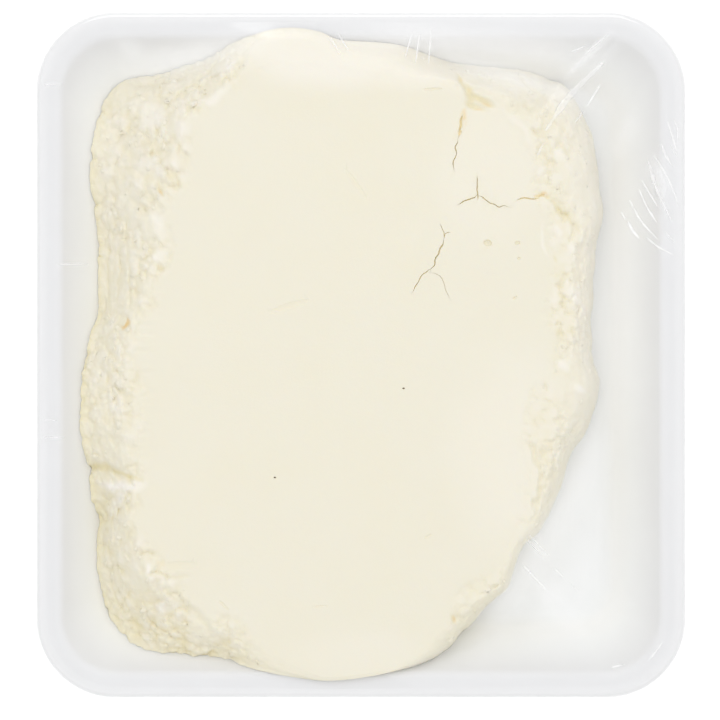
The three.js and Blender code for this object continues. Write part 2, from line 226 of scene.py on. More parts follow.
# Orange-brown stains where the curd has dried: path, width and strength
STAINS = [
    ([(21.4, 50.6), (20.7, 47.6), (19.9, 44.8)], 2.0, 0.9),
    ([(20.8, 57.8), (21.3, 56.4)], 0.9, 0.5),
    ([(21.8, 55.3), (22.7, 54.5)], 1.2, 0.35),
    ([(25, 52.3), (26.6, 51.5)], 1.3, 0.55),
    ([(22.9, 50.6), (25, 50.4)], 0.9, 0.5),
    ([(37.2, 33), (38.2, 33.1), (38.8, 32.4)], 1.7, 0.8),
    ([(-42, 34), (-41.2, 33.4)], 1.3, 0.7),
    ([(-49.5, 6.2), (-48.7, 5.6), (-48, 6.6), (-48.3, 7.8)], 1.5, 1.0),
    ([(18.9, -54.2), (19.9, -55.8)], 1.6, 0.6),
    ([(25.7, 23.2), (26.7, 23.1)], 1.5, 0.5),
    ([(31.9, 23.2), (32.9, 23.2)], 0.9, 0.4),
    ([(32.3, 20), (33, 20)], 0.8, 0.35),
    ([(31.4, 11.6), (32.3, 12.1)], 0.7, 0.6),
]

# Whitish patches of the smooth top and its edge, partly the curd's own paler colour and partly painted
# light that lifts shade on the shoulder: middle, half width, half depth and strength
PALE_AND_PAINTED_LIGHT_PATCHES = [
    ((-5, 63), (21, 8), 0.6), ((12, 61), (22, 6), 0.5), ((27, 57.5), (11, 4), 0.4),
    ((42, 45), (9, 10), 0.3), ((35.5, 55), (7, 5), 0.35), ((0, -62), (16, 5), 0.15),
    ((-38, 58), (9, 4), 0.5), ((-43.6, 50.2), (3.4, 3.6), 0.7), ((27, 38), (12, 15), 0.22),
    ((33, -20), (15, 22), 0.27),
]

# Calm patches of the sides, with less grain: middle, half width, half depth and strength
CALM_PATCHES = [
    ((-48.5, 30.5), (3, 4), 0.6), ((-51.5, 16), (4.5, 7), 0.5), ((-46.8, -45.8), (2.5, 4.5), 0.5),
    ((-33.4, -55.4), (3, 6), 0.7), ((45.5, 35), (4, 9), 0.6), ((45, -6), (6, 8), 0.7),
    ((-37.6, 47), (3.8, 3.4), 0.5), ((-43, 26.6), (3.2, 4), 0.5), ((-29.6, 54), (4, 2.6), 0.5),
    ((34.1, -37), (2, 2), 1.0), ((-43.6, 50.2), (3.4, 3.2), 0.6),
]

# How far a crack's cutter stands over the top
OVERHEAD = 1.0

# Small marks pressed in the top: from, to, width and depth
MARKS = [
    ((26, 23.2), (26.4, 23.1), 1.4, 0.68),
    ((32.2, 23.2), (32.6, 23.2), 0.8, 0.38),
    ((32.6, 20), (32.7, 20), 0.7, 0.3),
    ((31.6, 11.7), (32.1, 12), 0.6, 0.3),
    ((-3.1, 38.2), (0.9, 32.8), 0.9, 0.12),
    ((-18.4, 9), (-11.3, 11.2), 1.4, 0.16),
    ((-9.9, -52.2), (-7.5, -51.9), 0.6, 0.15),
    ((13.2, 55), (16.6, 55.1), 0.6, 0.2),
    ((-42, -44), (-34.8, -43.4), 2.0, 0.16),
    ((13.4, -37.8), (14.4, -37.2), 0.6, 0.15),
    ((-29.2, -51), (-27.6, -52.6), 0.6, 0.2),
]

# Broad soft streaks in the film: from, to, width and haze. The haze is painted: it stands in for the film's
# milky reflections, and in places it is painted light that lifts shade on the tray and at the slab's edge.
HAZE_AND_PAINTED_LIGHT_STREAKS = [
    ((51.6, 66.5), (42.2, 57.4), 1.7, 0.3),
    ((54.4, 66), (45, 56), 2.0, 0.1),
    ((60.6, 40.2), (63.2, 34), 2.4, 0.25),
    ((57, 50), (52, 40), 3.0, 0.1),
    ((33, -42), (45, -57), 4.0, 0.11),
    ((-50, 66), (-45, 60), 3.5, 0.12),
    ((-47, 58.8), (-20, 65.4), 5.5, 0.25),
    ((-2, 67.6), (48, 62.5), 6.5, 0.2),
    ((16, 62), (49, 52), 5.0, 0.26),
    ((53.5, 34), (53.5, -16), 7.0, 0.14),
    ((52, -15), (24, -63), 5.0, 0.14),
]

# Narrow bright creases in the film: path, width and how white they are. Their white is a painted glint of
# the lights.
CREASES = [
    ([(50.4, 60.8), (42.9, 53.2), (38.2, 46.4)], 1.4, 0.3),
    ([(37.8, 43.9), (36.4, 41)], 0.5, 0.3),
    ([(46, 50.4), (44.3, 48.1)], 0.4, 0.35),
    ([(49.6, 56), (46.9, 51.6)], 0.5, 0.7),
    ([(46.5, 64), (43.5, 62.8)], 0.35, 0.7),
    ([(51.2, 66.4), (46.8, 62.8)], 0.5, 0.4),
    ([(63.5, 48.6), (64.8, 44.6), (65.7, 41.3)], 0.4, 0.7),
    ([(64.9, 49), (65.8, 46.6), (66.4, 44.4)], 0.5, 0.6),
    ([(62.3, 43.7), (63.2, 41.2), (64.7, 39)], 0.5, 0.6),
    ([(64, 43.7), (65.7, 41)], 0.25, 0.6),
    ([(60.8, 41.4), (63.6, 36.6), (65.9, 31.2)], 0.35, 0.6),
    ([(59.4, 40.4), (61.3, 34.4), (64.4, 27.8)], 0.9, 0.45),
    ([(58.1, 36.3), (61.5, 30.7)], 0.3, 0.7),
    ([(57.6, 34.4), (59.2, 30.8), (61.5, 27.2)], 0.35, 0.8),
    ([(55.6, 32.1), (58.1, 27.7), (61.5, 24)], 0.35, 0.8),
    ([(53.9, 29.7), (54.8, 28)], 0.25, 0.6),
    ([(55.3, 27.7), (56.4, 25.6), (57.8, 24.1)], 0.6, 0.95),
    ([(59, 24.5), (61.6, 22.4), (64.7, 20.8)], 0.4, 0.85),
    ([(63.2, 25.3), (65, 23.3)], 0.25, 0.5),
    ([(9.2, 61.7), (10.7, 67.1)], 0.3, 0.6),
    ([(11.3, 60.4), (12.1, 66.3)], 0.4, 0.6),
    ([(14, 60.4), (14.6, 67.3)], 0.4, 0.5),
    ([(-6.7, 66.3), (-4.2, 62.3)], 0.35, 0.5),
    ([(-5, 66.9), (-2.5, 63.1)], 0.35, 0.5),
    ([(34.8, -37.2), (38.8, -41.5)], 0.35, 0.45),
    ([(34.4, -38.1), (38, -42.2)], 0.3, 0.35),
    ([(39.8, -44), (42, -46.2)], 0.4, 0.3),
    ([(43.6, -47.4), (45, -48.9)], 0.3, 0.3),
    ([(33.4, -43.3), (38.2, -48.5)], 0.6, 0.3),
    ([(-67.1, 56), (-62.1, 56.2)], 0.35, 0.4),
    ([(-62.9, 18.8), (-56.6, 18.8)], 0.35, 0.4),
    ([(-67, -17), (-61.5, -17.2)], 0.3, 0.4),
    ([(-66.8, -13.4), (-63, -13.6)], 0.3, 0.4),
    ([(59.8, -63.3), (62.5, -59.6)], 0.5, 0.7),
    ([(52, -64.8), (54.5, -64.2)], 0.4, 0.6),
]

# Dark specks in the top: place and width
SPECKS = [((8.8, -6.9), 0.55), ((-17.8, -25.3), 0.45)]

# Colours, as shares of red, green and blue that come back
BODY_COLOUR = (0.875, 0.835, 0.695, 1)
SEAM_COLOUR = (0.86, 0.78, 0.52, 1)
PALE_COLOUR = (0.965, 0.925, 0.85, 1)
CRACK_COLOUR = (0.94, 0.83, 0.54, 1)
STAIN_COLOUR = (0.86, 0.65, 0.32, 1)
FOAM_COLOUR = (0.955, 0.97, 0.975, 1)
FOAM_LIGHT_SHARE = 0.6
FOAM_LIGHT_DEPTH = 3.0
# Greyer foam for the rim and the floor: painted shade
PAINTED_SHADE_FOAM_COLOUR = (0.81, 0.812, 0.82, 1)

# Camera, light and table
LENS = 167
SENSOR_WIDTH = 36
FRAME_WIDTH = 149.35
CAMERA_DISTANCE = LENS / SENSOR_WIDTH * FRAME_WIDTH
VIEW_CENTRE = (-0.2, -1.05)
DOME_STRENGTH = 0.82
FACING_GLOSS = 0.02
SOFTBOX_HEIGHT = 1.6
SOFTBOX_SIZE = 2.4
SOFTBOX_POWER = 4.5
KEY_PLACE = (0, 0.8, 0.85)
KEY_SIZE = 0.7
KEY_POWER = 1.5
TABLE_HALF = 2500
TABLE_LEVEL = -0.05
TABLE_GLOW = 0.72


def smooth(low, high, value):
    """Smooth step from 0 at low to 1 at high"""
    share = np.clip((value - low) / (high - low), 0, 1)
    return share * share * (3 - 2 * share)


def smooth_curve(points, closed, steps):
    """Centripetal Catmull-Rom curve through the points, with so many steps between two"""
    corners = np.array(points, float)
    if closed:
        corners = np.vstack([corners[-1], corners, corners[0], corners[1]])
    else:
        corners = np.vstack([2 * corners[0] - corners[1], corners, 2 * corners[-1] - corners[-2]])
    stretches = []
    shares = np.arange(steps)[:, None] / steps
    for before, start, end, after in zip(corners, corners[1:], corners[2:], corners[3:]):
        gaps = [math.sqrt(math.dist(*pair)) for pair in ((before, start), (start, end), (end, after))]
        lean = (start - before) / gaps[0] - (end - before) / (gaps[0] + gaps[1]) + (end - start) / gaps[1]
        fall = (end - start) / gaps[1] - (after - start) / (gaps[1] + gaps[2]) + (after - end) / gaps[2]
        lean = lean * gaps[1]
        fall = fall * gaps[1]
        square = 3 * (end - start) - 2 * lean - fall
        cube = 2 * (start - end) + lean + fall
        stretches.append(start + lean * shares + square * shares ** 2 + cube * shares ** 3)
    if not closed:
        stretches.append(corners[-2][None])
    return np.vstack(stretches)


def reach_of(points):
    """Distance from the slab's centre to a closed line, as a function of direction"""
    offset = points - SLAB_CENTRE
    angles = np.arctan2(offset[:, 1], offset[:, 0]) % TURN
    order = np.argsort(angles)
    reach = np.hypot(offset[:, 0], offset[:, 1])
    return lambda angle: np.interp(angle, angles[order], reach[order], period=TURN)


def cell_number(cell, salt):
    """Random number from 0 to 1 for each cell of a grid"""
    wave = np.sin(cell @ np.array([127.1, 311.7, 74.7]) + salt * 19.3) * 43758.5453
    return wave - np.floor(wave)


def curds(points, size, softness=9):
    """Packed curds of one size: about 0.85 on a curd's crown, near 0 in a seam; and a number from
    0 to 1 that is each curd's own"""
    place = points / size
    cell = np.floor(place)
    total = np.zeros(len(points))
    number = np.zeros(len(points))
    for shift in itertools.product((-1, 0, 1), repeat=3):
        corner = cell + shift
        jitter = np.stack([cell_number(corner, salt) for salt in (1, 2, 3)], 1)
        distance = np.sqrt(((place - corner - jitter) ** 2).sum(1) + 0.02)
        weight = np.exp(-softness * distance)
        total += weight
        number += weight * cell_number(corner, 4)
    return np.maximum(0, 1 + np.log(total) / softness), number / total


def soft_noise(points, size, salt):
    """Smooth random values from -1 to 1 whose bumps have the given size"""
    place = points / size
    cell = np.floor(place)
    part = place - cell
    blend = part * part * (3 - 2 * part)
    total = np.zeros(len(points))
    for corner in itertools.product((0, 1), repeat=3):
        weight = np.prod(np.where(np.array(corner) == 1, blend, 1 - blend), axis=1)
        total += weight * cell_number(cell + corner, salt)
    return total * 2 - 1


def wall_face(z, clearance):
    """Inset of the tray's inner wall from the pack's outline at a height"""
    return RIM_BAND + SKIN + WALL_LEAN * (RIM_TOP - z) + clearance * math.hypot(1, WALL_LEAN)


def corner_at(inset):
    """Corner radius of the pack's outline moved in by an inset"""
    banded = np.minimum(inset, RIM_BAND)
    return np.maximum(LEAST_RADIUS, CORNER_RADIUS - banded - CORNER_OPENING * (inset - banded))


def pack_ring(inset, z):
    """Ring of points round the pack, inset from its outline, anticlockwise from the right"""
    radius = corner_at(inset)
    half = np.array([PACK_WIDTH / 2 - inset - radius, PACK_DEPTH / 2 - inset - radius])
    arcs = []
    for quarter, side in enumerate(((1, 1), (-1, 1), (-1, -1), (1, -1))):
        angles = (quarter + np.arange(CORNER_STEPS + 1) / CORNER_STEPS) * math.pi / 2
        arcs.append(half * side + radius * np.stack([np.cos(angles), np.sin(angles)], 1))
    ring = []
    for arc, following in zip(arcs, arcs[1:] + arcs[:1]):
        shares = np.arange(1, SIDE_STEPS)[:, None] / SIDE_STEPS
        ring += [arc, arc[-1] + (following[0] - arc[-1]) * shares]
    flat = np.vstack(ring)
    return np.column_stack([flat, np.full(len(flat), float(z))])


def rounded_section(corners, steps=6):
    """Section points (inset, z) with each corner rounded off: corners are (inset, z, round)"""
    corners = np.array([(*corner, 0)[:3] for corner in corners], float)
    path = [corners[:1, :2]]
    for before, (inset, z, round_off), after in zip(corners, corners[1:], corners[2:]):
        corner = np.array([inset, z])
        start = before[:2] - corner
        end = after[:2] - corner
        start *= round_off / np.hypot(*start)
        end *= round_off / np.hypot(*end)
        share = np.arange(steps + 1)[:, None] / steps
        path.append(corner + start * (1 - share) ** 2 + end * share ** 2)
    path.append(corners[-1:, :2])
    return np.vstack(path)


def beyond(points, inset):
    """How far points lie outside the pack's outline moved in by an inset, seen from above"""
    radius = corner_at(inset)
    half = np.stack([PACK_WIDTH / 2 - inset - radius, PACK_DEPTH / 2 - inset - radius], -1)
    over = np.abs(points[:, :2]) - half
    corner = np.maximum(over, 0)
    return np.hypot(corner[:, 0], corner[:, 1]) + np.minimum(over.max(1), 0) - radius, corner


def wall_height(points, lowest):
    """Height at which points would rest on the tray's wall, or the lowest height allowed"""
    low = np.full(len(points), float(lowest))
    high = np.full(len(points), RIM_TOP + BRIM)
    for _ in range(14):
        height = (low + high) / 2
        free = beyond(points, wall_face(height, CLEARANCE))[0] < 0
        high = np.where(free, height, high)
        low = np.where(free, low, height)
    return high


def widest_line():
    """The slab's widest line as functions of direction: its distance from the slab's centre, set
    right for how far it lies below the rim, and its height. It is low where the slab stands free, up
    the wall where it leans on it, and over the rim where it spills onto it."""
    angles = np.arange(1440) / 1440 * TURN
    direction = np.stack([np.cos(angles), np.sin(angles)], 1)
    height = np.full(len(angles), WIDEST_HEIGHT)
    for _ in range(4):
        reach = seen_reach(angles) * (1 + (RIM_TOP - height) / CAMERA_DISTANCE)
        height = wall_height(direction * reach[:, None] + SLAB_CENTRE, WIDEST_HEIGHT)
    return (lambda angle: np.interp(angle, angles, reach, period=TURN),
            lambda angle: np.interp(angle, angles, height, period=TURN))


seen_reach = reach_of(smooth_curve(SLAB_OUTLINE, True, 24))
top_reach = reach_of(smooth_curve(TOP_OUTLINE, True, 24))
contact_reach = reach_of(pack_ring(FILM_CONTACT, RIM_TOP)[:, :2])
outline_reach, widest_at = widest_line()


def top_edge(angle):
    """Distance from the slab's centre to the edge of its smooth top: ragged where the side is
    coarse, and always a little inside the widest line"""
    around = np.column_stack([np.cos(angle) * 50, np.sin(angle) * 50, np.zeros(len(angle))])
    ragged = EDGE_RAGGEDNESS * coarse_at(angle) * soft_noise(around, 5.5, 21)
    return np.minimum(top_reach(angle) + ragged, outline_reach(angle) - LEAST_SHOULDER)


def polar(points):
    """Direction and distance of points from the slab's centre, seen from above"""
    offset = np.asarray(points)[:, :2] - SLAB_CENTRE
    return np.arctan2(offset[:, 1], offset[:, 0]), np.hypot(offset[:, 0], offset[:, 1])


def top_height(points):
    """Height of the crowned top over points seen from above"""
    angle, reach = polar(points)
    share = np.minimum(1, reach / top_edge(angle))
    flat = np.column_stack([np.asarray(points)[:, :2], np.full(len(points), 9.0)])
    swell = 0.2 * soft_noise(flat, 17, 5) + 0.06 * soft_noise(flat, 6, 6)
    return TOP_EDGE_HEIGHT + CROWN_RISE * (1 - share ** 2) + swell * (1 - share ** 4)


def film_height(points):
    """Height of the film's underside over points seen from above"""
    angle, reach = polar(points)
    edge = top_edge(angle)
    contact = contact_reach(angle)
    share = np.clip((reach - edge) / (contact - edge), 0, 1)
    span = TOP_EDGE_HEIGHT + (RIM_TOP - TOP_EDGE_HEIGHT) * share
    return np.where(reach < edge, top_height(points), span) + FILM_TOUCH


def add_mesh(name, points, faces):
    """New object at the origin from points in millimetres"""
    mesh = bpy.data.meshes.new(name)
    mesh.from_pydata((np.asarray(points) * MM).tolist(), [], faces)
    mesh.update()
    item = bpy.data.objects.new(name, mesh)
    bpy.context.scene.collection.objects.link(item)
    return item


def set_attribute(mesh, name, values):
    """Stores one number for each of a mesh's points"""
    if name not in mesh.attributes:
        mesh.attributes.new(name, "FLOAT", "POINT")
    mesh.attributes[name].data.foreach_set("value", np.asarray(values, np.float32))


def points_of(mesh):
    """A mesh's points in millimetres"""
    flat = np.zeros(len(mesh.vertices) * 3, np.float32)
    mesh.vertices.foreach_get("co", flat)
    return flat.reshape(-1, 3).astype(float) / MM


def move_points(mesh, points):
    """Puts a mesh's points at places in millimetres"""
    mesh.vertices.foreach_set("co", (points * MM).astype(np.float32).ravel())
    mesh.update()


def ring_faces(counts, first=0):
    """Faces between rings stacked from the foot up. Each ring has as many points as the one
    before it, or half as many."""
    faces = []
    low = first
    for count, next_count in zip(counts, counts[1:]):
        high = low + count
        here = np.arange(next_count)
        after = (here + 1) % next_count
        if count == next_count:
            faces += np.stack([low + here, low + after, high + after, high + here], 1).tolist()
        else:
            left, middle, right = low + 2 * here, low + 2 * here + 1, low + (2 * here + 2) % count
            faces += np.stack([left, middle, high + here], 1).tolist()
            faces += np.stack([middle, high + after, high + here], 1).tolist()
            faces += np.stack([middle, right, high + after], 1).tolist()
        low = high
    return faces


def fan_faces(first, count, point, upward):
    """Faces from a ring to one point inside it"""
    here = np.arange(count)
    after = (here + 1) % count
    order = [first + here, first + after] if upward else [first + after, first + here]
    return np.stack([*order, np.full(count, point)], 1).tolist()


def add_loft(name, rings, start, end):
    """Closed object from a start point through a stack of rings to an end point"""
    counts = [len(ring) for ring in rings]
    points = np.vstack([*rings, [start], [end]])
    total = sum(counts)
    faces = ring_faces(counts)
    faces += fan_faces(0, counts[0], total, False)
    faces += fan_faces(total - counts[-1], counts[-1], total + 1, True)
    return add_mesh(name, points, faces)


def nearest_on_path(points, path):
    """Distance from points to a path seen from above, and how far along it that is, from 0 to 1"""
    curve = smooth_curve(path, False, 12)
    best = np.full(len(points), 1e9)
    along = np.zeros(len(points))
    for number, (start, end) in enumerate(zip(curve, curve[1:])):
        run = end - start
        offset = points[:, :2] - start
        share = np.clip(offset @ run / (run @ run), 0, 1)
        away = offset - share[:, None] * run
        distance = np.hypot(away[:, 0], away[:, 1])
        closer = distance < best
        best = np.where(closer, distance, best)
        along = np.where(closer, (number + share) / (len(curve) - 1), along)
    return best, along


def groove(points, path, width):
    """Profile of a groove: 1 on its path, 0 at its edges and fading out at its ends"""
    distance, along = nearest_on_path(points, path)
    fullness = np.sin(math.pi * np.clip(along * 0.9 + 0.05, 0, 1)) ** 0.6
    half = width / 2 * (0.35 + 0.65 * fullness)
    return fullness * smooth(1, 0, distance / half)


def coarse_at(angle):
    """Coarseness of the crumbly side in a direction from the slab's centre"""
    turns, values = np.array(COARSENESS, float).T
    return np.interp(np.degrees(angle), turns, values, period=360)


def room_at(angle):
    """Share of the curd's relief that the shoulder has room for in a direction"""
    return smooth(0.8, 5.5, outline_reach(angle) - top_edge(angle))


def grain_of(points, from_edge, coarse):
    """Curd grain of points that lie a distance outside the smooth top's edge: how far each sinks,
    how deep in a seam it is and how pale"""
    warped = points + np.stack([soft_noise(points, 2.2, salt) for salt in (7, 8, 9)], 1) * 0.45
    small, small_number = curds(warped, CURD_SIZE)
    grains, grain_number = curds(warped, GRAIN_SIZE, GRAIN_SOFTNESS)
    fine, _ = curds(warped, FINE_SIZE, GRAIN_SOFTNESS)
    patchy = 1.05 + 0.35 * soft_noise(points, 7, 22)
    grainy = smooth(-2.2, 2.4, from_edge + 2 * soft_noise(points, 3.5, 10)) * coarse * patchy
    grainy = grainy * (1 - patches_at(points, CALM_PATCHES))
    sink = CURD_DEPTH * ((1 - small) ** 2 - MIDDLE_SINK)
    sink += (GRAIN_DEPTH * ((1 - grains) ** 2 - MIDDLE_SINK)
             + FINE_DEPTH * ((1 - fine) ** 2 - MIDDLE_SINK))
    seam = np.clip(1.25 - 0.6 * grains - small, 0, 1)
    crowns = smooth(0.3, 0.9, small_number) * smooth(0.2, 0.75, small)
    crowns += 0.5 * smooth(0.3, 0.9, grain_number) * smooth(0.3, 0.8, grains)
    return grainy * sink, grainy * seam, grainy * (0.2 + 0.5 * crowns)


def side_points(angle, share):
    """Points on the slab's crumbly side, and how deep in a seam and how pale each is, with painted shade
    and painted light mixed into both. Share runs from 0 at the smooth top to 1 at the widest line and 2 at
    the foot."""
    edge = top_edge(angle)
    outline = outline_reach(angle)
    widest = widest_at(angle)
    spill = smooth(RIM_TOP - 3, RIM_TOP, widest)
    below = np.maximum(0, share - 1)
    above = np.minimum(1, share)
    reach = edge + (outline - edge) * above - FOOT_TUCK * below ** 2
    leaning = smooth(WIDEST_HEIGHT, WIDEST_HEIGHT + 3, widest)
    # Where the side leans on the wall it slopes gently, except at the low right, where it is square
    drop = (1 - above ** 4) ** 0.6
    squarer = smooth(-0.2, 0.1, np.cos(angle)) * smooth(0.1, -0.5, np.sin(angle))
    sloping = leaning * (1 - 0.8 * squarer)
    drop += sloping * (0.2 * (1 - above ** 2) + 0.4 * (1 + np.cos(math.pi * above)) - drop)
    z = widest + (TOP_EDGE_HEIGHT - widest) * drop - (widest - FLOOR_TOP) * below
    direction = np.stack([np.cos(angle), np.sin(angle)], 1)
    points = np.column_stack([direction * reach[:, None] + SLAB_CENTRE, z])
    sideways = smooth(0.5, 1, above)
    flat = (0.7 + (WALL_LEAN - 0.7) * leaning) * sideways
    out = np.column_stack([direction * flat[:, None], 1 - 0.5 * sideways * (1 - leaning)])
    out /= np.linalg.norm(out, axis=1)[:, None]

    coarse = coarse_at(angle)
    lumps, _ = curds(points, LUMP_SIZE)
    rough = smooth(0, 0.3, share) * (1 - 0.7 * spill) * (0.3 + 0.7 * coarse)
    free = smooth(-0.2, 0.5, np.cos(angle))
    calmer = (1 - 0.45 * spill) * (1 - (0.3 + 0.3 * free) * smooth(0.55, 0.95, above))
    sink, seam, pale = grain_of(points, reach - edge, coarse * calmer * room_at(angle))
    sink += rough * LUMP_DEPTH * (0.5 - lumps) * room_at(angle)
    sink = DEEPEST_SINK * np.tanh(sink / DEEPEST_SINK) + EDGE_INSET * leaning * sideways
    points = points - out * (sink * (1 - below))[:, None]
    outward = smooth(0.2, 0.9, above)
    yellow = np.maximum(0, np.cos(angle - YELLOW_SIDE))
    seam = seam + (0.1 + 0.26 * yellow) * outward * coarse
    # Painted light: the outer part of the sides is made paler, less on the left and at the square low
    # right, to lift the shade that falls on the steep sides
    painted_side_light = 0.5 - 0.28 * smooth(0, -0.6, np.cos(angle)) - 0.3 * squarer
    pale = pale * (1 - 0.5 * outward) + painted_side_light * outward * (1 - yellow) * (1 - spill)
    # Painted shade: the left side's lowest part, which lies in the slab's own shade, is made yellower and
    # less pale
    shaded = smooth(0.86, 1, above) * smooth(-0.55, -0.85, np.cos(angle))
    seam = seam + 0.4 * shaded
    pale = pale * (1 - 0.7 * shaded)
    return points, seam, pale


def into_room(points):
    """Moves points out of the foam: in from the wall, and up from the rim and the floor"""
    points = points.copy()
    over_rim = (points[:, 2] > RIM_TOP - 1.2) & (beyond(points, wall_face(RIM_TOP, 0))[0] > 0)
    points[:, 2] = np.where(over_rim, np.maximum(points[:, 2], RIM_TOP + CLEARANCE), points[:, 2])
    points[:, 2] = np.maximum(points[:, 2], FLOOR_TOP + CLEARANCE)
    height = points[:, 2]
    foot = np.clip(1 - (height - FLOOR_TOP) / FOOT_ROUND, 0, 1)
    inset = wall_face(height, CLEARANCE) + 0.9 * foot ** 2
    outside, corner = beyond(points, inset)
    length = np.hypot(corner[:, 0], corner[:, 1])
    scale = np.where(length > 0, corner_at(inset) / np.maximum(length, 1e-9), 1)
    held = np.abs(points[:, :2]) - corner + corner * scale[:, None]
    moved = (outside > 0) & (height < RIM_TOP)
    points[:, :2] = np.where(moved[:, None], held * np.sign(points[:, :2]), points[:, :2])
    return points


def under_film(points, gap):
    """Presses points down where they would stand through the film"""
    points = points.copy()
    points[:, 2] = np.minimum(points[:, 2], film_height(points) - gap)
    return points


def top_points(angle, share):
    """Points on the smooth top, and how deep in a seam and how pale each is. The grain of the sides
    runs in over its edge, and there are fine drag marks beside its left edge."""
    reach = top_edge(angle) * share
    direction = np.stack([np.cos(angle), np.sin(angle)], 1)
    points = np.column_stack([direction * reach[:, None] + SLAB_CENTRE, np.zeros(len(angle))])
    points[:, 2] = top_height(points)
    from_edge = top_edge(angle) * (1 - share)
    sink, seam, pale = grain_of(points, -from_edge, coarse_at(angle) * room_at(angle))
    leftward = smooth(-0.7, -0.95, np.cos(angle)) * smooth(7, 1, from_edge + 3 * soft_noise(points, 5, 19))
    drag = soft_noise(points * (0.2, 1, 1), 0.9, 20)
    points[:, 2] -= sink + DRAG_DEPTH * leftward * (1 + drag)
    return points, seam, pale


def patches_at(points, patches):
    """How far points lie in soft oval patches seen from above, each (middle, half sizes, strength)"""
    most = np.zeros(len(points))
    for (x, y), (half_width, half_depth), strength in patches:
        apart = np.hypot((points[:, 0] - x) / half_width, (points[:, 1] - y) / half_depth)
        most = np.maximum(most, strength * smooth(1.3, 0.5, apart))
    return most


def make_slab():
    """The slab's body: crumbly sides, smooth top, grooves and swellings, before its cracks"""
    fine = np.arange(SHOULDER_COLUMNS) / SHOULDER_COLUMNS * TURN
    sparse = fine[::2]
    side_shares = [*np.linspace(2, 1, 5)[:-1], *(1 - np.linspace(0, 1, SHOULDER_RINGS)[:-1] ** 1.3)]
    edge_shares = np.linspace(1, 0.92, EDGE_RINGS)
    inner_shares = 0.9 * (1 - np.linspace(0, 1, 19)[:-1] ** 1.1)
    layers = [side_points(fine, np.full(len(fine), share)) for share in side_shares]
    layers += [top_points(fine, np.full(len(fine), share)) for share in edge_shares]
    layers += [top_points(sparse, np.full(len(sparse), share)) for share in inner_shares]
    rings, seams, pales = zip(*layers)
    seam = np.concatenate([*seams, [0, 0]])
    pale = np.concatenate([*pales, [0, 0]])
    foot = np.array([*SLAB_CENTRE, FLOOR_TOP + CLEARANCE])
    crown = np.array([*SLAB_CENTRE, top_height(SLAB_CENTRE[None])[0]])
    slab = add_loft("cheese_slab", rings, foot, crown)
    points = points_of(slab.data)
    upper = smooth(RIM_TOP - 14, RIM_TOP - 9, points[:, 2])
    wobble = np.stack([soft_noise(points, 2.2, 12), soft_noise(points, 2.2, 13)], 1) * 0.6
    bent = np.column_stack([points[:, :2] + wobble, points[:, 2]])
    crumbly = smooth(0.05, 0.4, seam + pale)
    crumbly *= smooth(WIDEST_HEIGHT + 3, WIDEST_HEIGHT + 5, points[:, 2])
    angle, reach = polar(points)
    edge = top_edge(angle)
    outward = (reach - edge) / (outline_reach(angle) - edge)
    crumbly *= smooth(0.2, 1.2, reach - edge) * smooth(0.95, 0.75, outward)
    for path, width, height, paleness in SWELLINGS:
        risen = groove(bent, path, width) * upper
        points[:, 2] += height * risen
        pale = np.maximum(pale, paleness * risen)
        seam = seam * (1 - 0.6 * risen)
        crumbly = crumbly * (1 - risen)
    for path, width, depth, yellowness in GROOVES:
        sunk = groove(bent, path, width) * upper
        points[:, 2] -= depth * sunk
        seam = np.maximum(seam, yellowness * sunk)
        pale = pale * (1 - sunk)
        crumbly = crumbly * (1 - sunk)
    points = under_film(into_room(points), 0.0)
    move_points(slab.data, points)
    stain = np.zeros(len(points))
    for path, width, strength in STAINS:
        stain = np.maximum(stain, strength * groove(bent, path, width))
    # Pale patches: partly the curd's own colour, partly painted light over shaded parts of the shoulder
    pale_and_painted_light = patches_at(points, PALE_AND_PAINTED_LIGHT_PATCHES) * (1 - seam)
    set_attribute(slab.data, "seam", np.clip(seam, 0, 1))
    set_attribute(slab.data, "pale", np.clip(np.maximum(pale, pale_and_painted_light), 0, 1))
    set_attribute(slab.data, "stain", stain)
    set_attribute(slab.data, "crumbly", crumbly)
    return slab


def node(tree, kind, settings=None, **inputs):
    """New node. Each input is named by its socket, or by a number as in n0, and is given as a
    value or as another node's output."""
    made = tree.nodes.new(kind)
    for name, value in (settings or {}).items():
        setattr(made, name, value)
    for name, value in inputs.items():
        numbered = name[0] == "n" and name[1:].isdigit()
        socket = made.inputs[int(name[1:])] if numbered else made.inputs[name.replace("_", " ")]
        if isinstance(value, bpy.types.NodeSocket):
            tree.links.new(value, socket)
        else:
            socket.default_value = value
    return made


def math_node(tree, operation, *values):
    """Output of a math node"""
    inputs = {f"n{number}": value for number, value in enumerate(values)}
    return node(tree, "ShaderNodeMath", {"operation": operation}, **inputs).outputs[0]


def geometry_tree(name, inputs):
    """New Geometry Nodes tree with a geometry input, named inputs and a geometry output"""
    tree = bpy.data.node_groups.new(name, "GeometryNodeTree")
    tree.interface.new_socket("Geometry", in_out="INPUT", socket_type="NodeSocketGeometry")
    for label, kind in inputs.items():
        tree.interface.new_socket(label, in_out="INPUT", socket_type=f"NodeSocket{kind}")
    tree.interface.new_socket("Geometry", in_out="OUTPUT", socket_type="NodeSocketGeometry")
    return tree, node(tree, "NodeGroupInput"), node(tree, "NodeGroupOutput")


def grown_from(base, name, tree, values):
    """Plain mesh object that a tree makes from a base object, which is left as it was"""
    modifier = base.modifiers.new("grow", "NODES")
    modifier.node_group = tree
    for item in tree.interface.items_tree:
        if item.in_out == "INPUT" and item.name in values:
            modifier[item.identifier] = values[item.name]
    shown = base.evaluated_get(bpy.context.evaluated_depsgraph_get())
    mesh = bpy.data.meshes.new_from_object(shown)
    base.modifiers.remove(modifier)
    mesh.name = name
    made = bpy.data.objects.new(name, mesh)
    bpy.context.scene.collection.objects.link(made)
    return made


